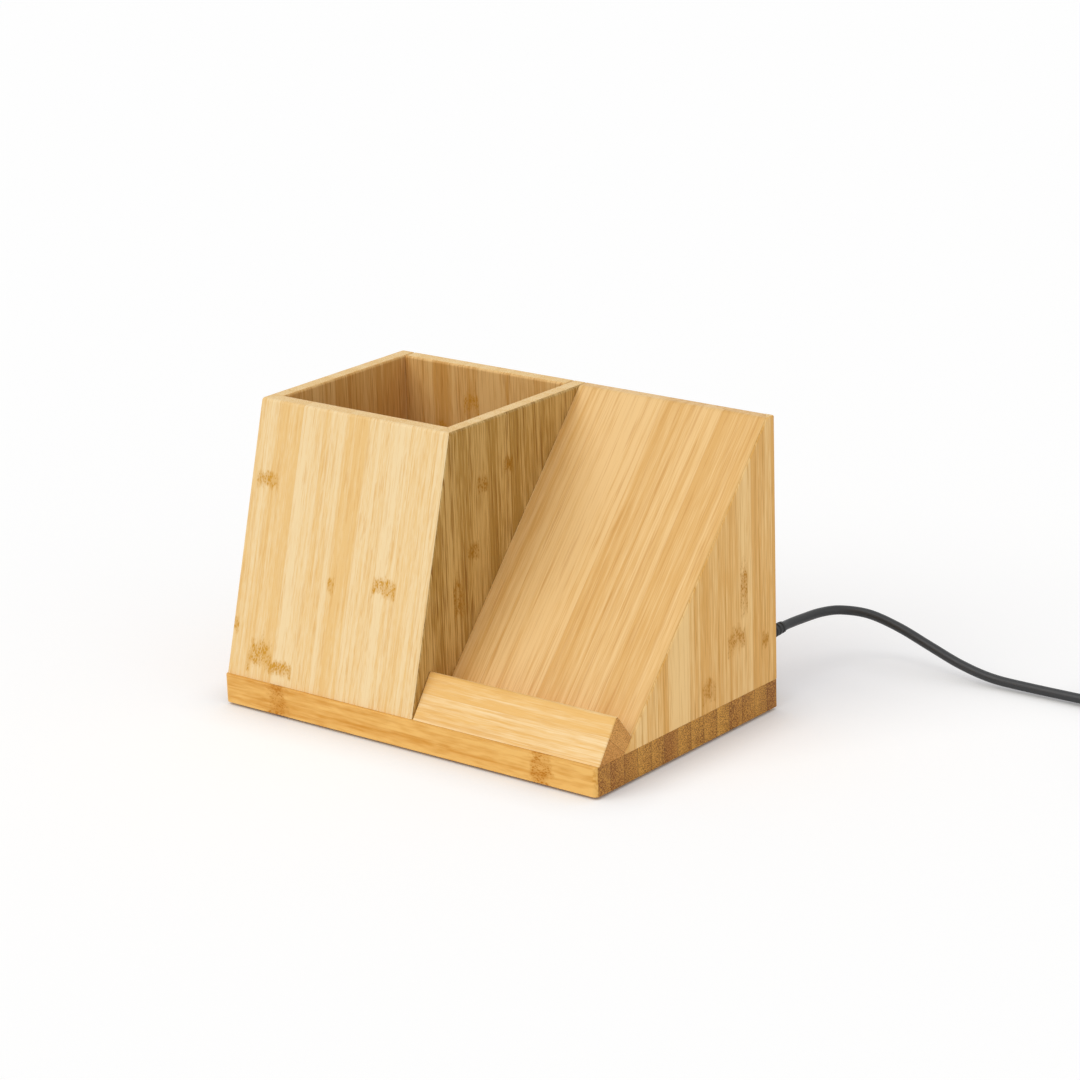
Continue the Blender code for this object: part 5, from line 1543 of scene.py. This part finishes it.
def smooth_route(points, step):
    """Points about a step apart on one smooth curve through the given points, ends included."""
    given = [Vector(p) for p in points]
    padded = [given[0] * 2 - given[1], *given, given[-1] * 2 - given[-2]]
    dense = [given[0]]
    parts = 24
    for a, b, c, d in zip(padded, padded[1:], padded[2:], padded[3:]):
        for i in range(1, parts + 1):
            t = i / parts
            bend = (2 * a - 5 * b + 4 * c - d) * t**2 + (3 * b - a - 3 * c + d) * t**3
            dense.append(0.5 * (2 * b + (c - a) * t + bend))
    walked = [0.0]
    for p, q in zip(dense, dense[1:]):
        walked.append(walked[-1] + (q - p).length)
    count = max(2, round(walked[-1] / step))
    read = []
    k = 0
    for i in range(count + 1):
        wanted = walked[-1] * i / count
        while k < len(walked) - 2 and walked[k + 1] < wanted:
            k += 1
        share = (wanted - walked[k]) / (walked[k + 1] - walked[k])
        read.append(dense[k].lerp(dense[k + 1], min(1.0, max(0.0, share))))
    return read


nickel = surface(
    "shell_nickel",
    metal_group,
    {"Base": (0.60, 0.59, 0.57, 1.0), "Dullness": 0.20, "Scratches": 0.5, "Smudges": 0.5},
    {"Metallic": 1.0},
)
contact_gold = surface(
    "contact_gold",
    metal_group,
    {"Base": (0.78, 0.50, 0.16, 1.0), "Dullness": 0.20, "Scratches": 0.3, "Smudges": 0.3},
    {"Metallic": 1.0},
)
tongue_black = surface(
    "tongue_black",
    moulded_group,
    {"Base": (0.018, 0.018, 0.019, 1.0), "Dullness": 0.35, "Grain": 3600.0, "Clouding": 0.2},
)
dress(nickel, "socket_shell")
tongue_outline = rounded_box(TONGUE_WIDTH, TONGUE_HEIGHT, TONGUE_CORNER, 3)
tongue_ends = [upright(tongue_outline, PORT_X, y, PORT_Z) for y in (TONGUE_REAR, TONGUE_TIP)]
tongue = board("socket_tongue_piece", *tongue_ends, tongue_black)
contact_rows = []
for z in (PORT_Z - TONGUE_HEIGHT / 2, PORT_Z + TONGUE_HEIGHT / 2):
    put = Matrix.Translation((PORT_X, (TONGUE_REAR + TONGUE_TIP) / 2, z))
    row = block_row("contacts", put, CONTACT_COUNT, CONTACT_PITCH, CONTACT_SIZE, CONTACT_EDGE, contact_gold)
    contact_rows.append(row)
hand_in(joined(tongue, *contact_rows), "socket_tongue")
head_up = Matrix.Rotation(math.pi, 4, "X")
screws("socket_screws", SOCKET_SCREWS, SOCKET_SCREW_LENGTH, ["socket_screw_1", "socket_screw_2"], head_up)
for name, side, colour in (("red", -1, (0.42, 0.018, 0.014, 1.0)), ("black", 1, (0.017, 0.017, 0.018, 1.0))):
    looks = {"Base": colour, "Dullness": 0.32, "Grain": 2200.0, "Clouding": 0.3}
    sleeve = surface(f"lead_{name}", moulded_group, looks)
    pad = (WIRE_PADS[0] + side * WIRE_SPACING, WIRE_PADS[1])
    start = Vector((PORT_X + side * WIRE_SPACING, WIRE_START, SOCKET_BOARD_TOP))
    rise = start + Vector((0, 0, BOARD))
    near, soldered = (tilt @ Vector((*pad, BOARD_REAR - off)) for off in (BOARD, WIRE_SINK))
    middle = (rise + near) / 2 - Vector((0, 0, BOARD / 3))
    route = smooth_route((start, rise, middle, near, soldered), WIRE)
    hand_in(tube(f"supply_wire_{name}", route, WIRE, sleeve, 3), f"supply_lead_{name}")

# The plug: a metal shell in the socket, a moulded soft black body with a shallow finger dip on its flat
# faces, and a ribbed relief that tapers onto the cord. It comes straight out of the back by hand.
PLUG_SIZE = (0.0114, 0.0064, 0.00267)
PLUG_FACE, PLUG_END = 0.0460, 0.0680
PLUG_FACE_ROUND, PLUG_END_ROUND = 0.0005, 0.0013
LEAST_CORNER = 0.0004
DIP_START, DIP_LENGTH, DIP_DEPTH = 0.052, 0.010, 0.00028
CORD_START = Vector((PORT_X, 0.0815, PORT_Z))
CORD_DIAMETER = 0.0035
SLEEVE_ROOT, SLEEVE_TIP, SLEEVE_RIM = 0.0028, 0.0021, 0.0004
SLEEVE_SIZES = {
    "Length": 0.0132,
    "Root": SLEEVE_ROOT,
    "Tip": SLEEVE_TIP,
    "Groove": 0.0004,
    "Ribs": 5,
    "Rings": 140,
    "Skin": None,
}


def make_sleeve_tree():
    """A tapered round sleeve along +Z with even grooves between its ribs."""
    tree, given = geometry_tree("ribbed_sleeve", SLEEVE_SIZES)
    share = along_curve(tree)
    step = calc(tree, "MULTIPLY", share, calc(tree, "ADD", given["Ribs"], 1.0))
    off = calc(tree, "ABSOLUTE", calc(tree, "SUBTRACT", step, calc(tree, "ROUND", step)))
    groove = spread(tree, off, 0.13, 0.27, 1.0, 0.0)
    groove = calc(tree, "MULTIPLY", groove, calc(tree, "GREATER_THAN", step, 0.5))
    past_ribs = calc(tree, "ADD", given["Ribs"], 0.5)
    groove = calc(tree, "MULTIPLY", groove, calc(tree, "LESS_THAN", step, past_ribs))
    taper = calc(tree, "SUBTRACT", given["Tip"], given["Root"])
    width = calc(tree, "MULTIPLY_ADD", share, taper, given["Root"])
    width = calc(tree, "SUBTRACT", width, calc(tree, "MULTIPLY", groove, given["Groove"]))
    rim = calc(tree, "MULTIPLY", nearer_end(tree, share), given["Length"])
    width = calc(tree, "SUBTRACT", width, spread(tree, rim, 0.0, SLEEVE_RIM, 0.75 * SLEEVE_RIM, 0.0))
    ring = form(tree, "CurvePrimitiveCircle", {"Resolution": 48, "Radius": 1.0})
    sleeve = swept(tree, (0.0, 0.0, 0.0), above_origin(tree, given["Length"]), given["Rings"], ring, width)
    return close_tree(tree, given["Geometry"], sleeve, (given["Skin"], True))


def sleeve_piece(name, turn, length, root, tip, ribs, node):
    """A ribbed relief in its place on the cable."""
    sizes = {**SLEEVE_SIZES, "Length": length, "Root": root, "Tip": tip, "Ribs": ribs, "Skin": moulded_black}
    made = grown(name, sleeve_tree, [(0, 0, 0)], sizes, turn, 50)
    hand_in(made, node, "cable")


def moulding(name, middle, size, sections, node):
    """A moulded body about a line in depth. A section has a depth, and how much narrower and lower it is."""
    width, height, radius = size
    rings = []
    for y, narrower, lower_by in sections:
        corner = max(LEAST_CORNER, radius - max(narrower, lower_by))
        ring = rounded_box(width - 2 * narrower, height - 2 * lower_by, corner, 8)
        rings.append(upright(ring, middle[0], y, middle[1]))
    made = link_mesh(name, skin(rings), moulded_black)
    even_out(made, 50)
    hand_in(made, node, "cable")


def shares(count):
    """Even shares of a way, from 0 to 1."""
    return [i / count for i in range(count + 1)]


def round_end(y, radius, way):
    """Sections that round an end over: from the end inwards, the way being +1 or -1 in depth."""
    made = []
    for share in shares(5):
        angle = math.pi / 2 * share
        less = radius * (1 - math.sin(angle))
        made.append((y + way * radius * (1 - math.cos(angle)), less, less))
    return made


moulded_black = surface(
    "moulded_black",
    moulded_group,
    {
        "Base": (0.021, 0.0215, 0.0225, 1.0),
        "Dullness": 0.47,
        "Grain": 2300.0,
        "Clouding": 0.35,
        "Speckle": 0.2,
    },
    {"Specular IOR Level": 0.45},
)
sleeve_tree = make_sleeve_tree()
dress(nickel, "plug_shell")
sections = round_end(PLUG_FACE, PLUG_FACE_ROUND, 1)
for share in shares(12):
    sections.append((DIP_START + DIP_LENGTH * share, 0.0, DIP_DEPTH * math.sin(math.pi * share) ** 2))
sections += round_end(PLUG_END, PLUG_END_ROUND, -1)[::-1]
moulding("plug_moulding", (PORT_X, PORT_Z), PLUG_SIZE, sections, "plug_body")
put = Matrix.Translation((PORT_X, PLUG_END, PORT_Z)) @ Matrix.Rotation(math.radians(-90), 4, "X")
relief_length = CORD_START.y - PLUG_END
sleeve_piece("plug_sleeve", put, relief_length, SLEEVE_ROOT, SLEEVE_TIP, 5, "plug_relief")

# The plug at the cord's other end: a flat moulded body with finger ribs on its sides, a short relief, and a
# drawn metal shell with two square windows above and below, round a white tongue with four gold contacts.
ADAPTER_X, ADAPTER_Z = 0.2290, 0.0039
ADAPTER_SIZE = (0.0155, 0.0078, 0.0026)
RELIEF_END, ADAPTER_BACK, ADAPTER_FRONT, ADAPTER_TIP = 0.0927, 0.0834, 0.0613, 0.0486
ADAPTER_FACE_ROUND, ADAPTER_BACK_ROUND = 0.0006, 0.0012
RIB_START, RIB_LENGTH, RIB_DEPTH, RIB_COUNT = 0.0672, 0.0108, 0.00030, 5
SHELL_WIDTH, SHELL_HEIGHT, SHELL_WALL = 0.0120, 0.0045, 0.0004
SHELL_CORNER, ROOM_CORNER, SHELL_EDGE = 0.0005, 0.0003, 0.00015
WINDOW_PLACE, WINDOW_WIDTH, WINDOW_CORNER = 0.0030, 0.0022, 0.0001
WINDOW_FRONT, WINDOW_BACK = 0.0525, 0.0548
WHITE_WIDTH, WHITE_HEIGHT, WHITE_CORNER, WHITE_DROP = 0.0106, 0.0016, 0.00015, 0.00075
WHITE_FRONT, WHITE_BACK = 0.0494, 0.0604
PIN_SIZE = (0.0011, 0.0084, 0.00014)
PIN_PITCH, PIN_EDGE, PIN_LIFT = 0.0023, 0.00003, 0.00005

put = Matrix.Translation((ADAPTER_X, RELIEF_END, ADAPTER_Z)) @ Matrix.Rotation(math.radians(90), 4, "X")
relief_length = RELIEF_END - ADAPTER_BACK
sleeve_piece("adapter_sleeve", put, relief_length, SLEEVE_TIP, SLEEVE_ROOT, 3, "adapter_relief")
sections = round_end(ADAPTER_FRONT, ADAPTER_FACE_ROUND, 1)
for share in shares(12 * RIB_COUNT):
    narrower = RIB_DEPTH * math.sin(math.pi * RIB_COUNT * share) ** 2
    sections.append((RIB_START + RIB_LENGTH * share, narrower, 0.0))
sections += round_end(ADAPTER_BACK, ADAPTER_BACK_ROUND, -1)[::-1]
moulding("adapter_moulding", (ADAPTER_X, ADAPTER_Z), ADAPTER_SIZE, sections, "adapter_body")


def across_depth(outline, front, back):
    """An outline at two depths about the adapter plug's middle line."""
    return [upright(outline, ADAPTER_X, y, ADAPTER_Z) for y in (front, back)]


def mouth_rounding(p, q):
    """The mouth's edge is broken."""
    return SHELL_EDGE if max(p.y, q.y) < ADAPTER_TIP + HAIRLINE else 0.0


shell_outline = rounded_box(SHELL_WIDTH, SHELL_HEIGHT, SHELL_CORNER)
shell_ends = across_depth(shell_outline, ADAPTER_TIP, ADAPTER_FRONT)
shell = board("adapter_metal", *shell_ends, nickel, mouth_rounding)
room = rounded_box(SHELL_WIDTH - 2 * SHELL_WALL, SHELL_HEIGHT - 2 * SHELL_WALL, ROOM_CORNER)
carve(shell, board("room", *across_depth(room, ADAPTER_TIP - BOARD, ADAPTER_FRONT - SHELL_WALL), None))
for x in (-WINDOW_PLACE, WINDOW_PLACE):
    window = [(x + px, py) for px, py in rounded_box(WINDOW_WIDTH, 2 * SHELL_HEIGHT, WINDOW_CORNER, 2)]
    carve(shell, board("window", *across_depth(window, WINDOW_FRONT, WINDOW_BACK), None))
hand_in(shell, "adapter_shell", "cable")

tongue_white = surface(
    "adapter_tongue_white",
    moulded_group,
    {"Base": (0.74, 0.74, 0.72, 1.0), "Dullness": 0.36, "Grain": 3600.0, "Clouding": 0.08},
)
tongue_sides = [(px, py - WHITE_DROP) for px, py in rounded_box(WHITE_WIDTH, WHITE_HEIGHT, WHITE_CORNER, 3)]
tongue = board("adapter_tongue_piece", *across_depth(tongue_sides, WHITE_FRONT, WHITE_BACK), tongue_white)
put = Matrix.Translation((ADAPTER_X, WINDOW_BACK, ADAPTER_Z + PIN_LIFT))
pins = block_row("pins", put, 4, PIN_PITCH, PIN_SIZE, PIN_EDGE, contact_gold)
hand_in(joined(tongue, pins), "adapter_tongue", "cable")

# The tie: a short woven strap, wound once round the put-away turns of the cord at the back and closed on
# itself. The turns lie in two layers, round and inwards on the table and out again on top.
COIL_MIDDLE = (0.1995, 0.1387)
COIL_TURNS = 7
COIL_MIDDLE_RADIUS = 0.0184
COIL_PITCH = 0.00405
COIL_LEVEL = 0.00255
TIE_WIDTH, TIE_THICKNESS, TIE_CORNER, TIE_SLACK = 0.0035, 0.0005, 0.0014, 0.0003
TIE_START, TIE_OVERLAP = 7, 9
YARN_FUZZ = (5200.0, 5200.0, 5200.0)

# The strap's section, in shares of half its width and of its thickness.
TIE_SECTION_SHARES = (
    (-1, 0.15), (-1, 0.85), (-0.94, 1), (0.94, 1),
    (1, 0.85), (1, 0.15), (0.94, 0), (-0.94, 0),
)


def coil_points(steps):
    """The turns: round and inwards on the table, up a layer at the middle turn, and out again."""
    outer = COIL_MIDDLE_RADIUS + COIL_PITCH * COIL_TURNS / 4
    points = []
    for turn in (i / steps for i in range(COIL_TURNS * steps + 1)):
        radius = outer - COIL_PITCH * min(turn, COIL_TURNS - turn)
        climbed = eased(min(1.0, max(0.0, (turn - COIL_TURNS / 2) * 2 + 0.5)))
        angle = 2 * math.pi * (turn - 0.25)
        x = COIL_MIDDLE[0] + radius * math.cos(angle)
        y = COIL_MIDDLE[1] + radius * math.sin(angle)
        points.append(Vector((x, y, COIL_LEVEL + COIL_PITCH * climbed)))
    straight = Vector((CORD_DIAMETER, 0, 0))
    return [points[0] - straight, *points, points[-1] + straight]


def make_weave_group():
    """A fine plain weave of soft black yarn."""
    looks = {"Base": (0.02, 0.02, 0.02, 1.0), "Dullness": 0.8, "Yarn": 0.00030}
    tree, given = node_group("woven_strap", looks)
    x, y, z = axes(tree, given["Place"])
    waves = []
    for value in (x, calc(tree, "ADD", y, z)):
        turn = calc(tree, "MULTIPLY", calc(tree, "DIVIDE", value, given["Yarn"]), math.pi)
        waves.append(calc(tree, "SINE", turn))
    weave = calc(tree, "MULTIPLY_ADD", calc(tree, "MULTIPLY", *waves), 0.5, 0.5)
    fuzz = noise(tree, scaled(tree, x, y, z, YARN_FUZZ), 3.0, 0.7)
    height = calc(tree, "MULTIPLY_ADD", fuzz, 0.5, weave)
    # The yarn's colour follows the weave's height: painted shade where it sinks and painted light on its
    # crests.
    shade = calc(tree, "MULTIPLY_ADD", height, 0.7, 0.5)
    dull = calc(tree, "MULTIPLY_ADD", fuzz, 0.2, given["Dullness"])
    add_node(tree, "NodeGroupOutput", shaded(tree, given["Base"], shade), dull, height)
    return tree


turns = coil_points(60)
behind = [p for p in turns if abs(p.x - COIL_MIDDLE[0]) < CORD_DIAMETER and p.y > COIL_MIDDLE[1]]
slack = CORD_DIAMETER / 2 + TIE_SLACK
near, far = min(p.y for p in behind) - slack, max(p.y for p in behind) + slack
low, high = min(p.z for p in behind) - slack, max(p.z for p in behind) + slack
middle_y, middle_z = (near + far) / 2, (low + high) / 2
wrap = rounded_box(far - near, high - low, TIE_CORNER, 6)
wrap = [Vector((px, pz)) for px, pz in wrap[TIE_START:] + wrap[:TIE_START]]

# The strap goes once round the wrap, and its last steps lie over its own beginning.
rings = []
for i in range(len(wrap) + TIE_OVERLAP):
    p, before, after = (wrap[(i + k) % len(wrap)] for k in (0, -1, 1))
    ahead = (after - before).normalized()
    outwards = Vector((ahead.y, -ahead.x))
    over = TIE_THICKNESS if i >= len(wrap) else 0.0
    ring = []
    for x, out in TIE_SECTION_SHARES:
        at = p + outwards * (over + out * TIE_THICKNESS)
        ring.append((COIL_MIDDLE[0] + x * TIE_WIDTH / 2, middle_y + at.x, middle_z + at.y))
    rings.append(ring)
tie_black = surface(
    "tie_black",
    make_weave_group(),
    {"Base": (0.024, 0.024, 0.026, 1.0), "Dullness": 0.78},
    {"Sheen Weight": 0.25},
    bump=0.5,
    relief=0.0001,
)
tie = link_mesh("strap", skin(rings), tie_black, 40)
hand_in(tie, "cord_tie", "cable")

# The cord: a black round power cord of 3.5 mm, about 1 m long. It comes straight out of the plug's relief,
# droops to the table, and what is left of it is wound up in two layers under the tie.
CORD_STEP = 0.0015
LEAD_ROUTE = (
    (0.0660, 0.0850, 0.0187),
    (0.0669, 0.0921, 0.0188),
    (0.0689, 0.1023, 0.0188),
    (0.0736, 0.1087, 0.0187),
    (0.0835, 0.1119, 0.0180),
    (0.0960, 0.1125, 0.0150),
    (0.1090, 0.1124, 0.0105),
    (0.1220, 0.1123, 0.0061),
    (0.1350, 0.1124, 0.0034),
    (0.1500, 0.1129, 0.0027),
    (0.1740, 0.1133, 0.0026),
)
TAIL_ROUTE = (
    (0.2130, 0.1130, 0.0062),
    (0.2210, 0.1118, 0.0052),
    (0.2268, 0.1075, 0.0043),
    (0.2290, 0.1010, 0.0039),
    (0.2290, 0.0930, 0.0039),
)
cord_skin = surface(
    "cord_black",
    moulded_group,
    {
        "Base": (0.022, 0.023, 0.025, 1.0),
        "Dullness": 0.42,
        "Grain": 2600.0,
        "Clouding": 0.35,
        "Speckle": 0.15,
    },
)
lead = smooth_route([CORD_START, *LEAD_ROUTE, turns[0]], CORD_STEP)
tail = smooth_route([turns[-1], *TAIL_ROUTE], CORD_STEP)
cord = tube("power_cord", lead + turns[1:] + tail[1:], CORD_DIAMETER, cord_skin)
hand_in(cord, ("cord_lead", "cord_coil", "cord_tail"), "cable")
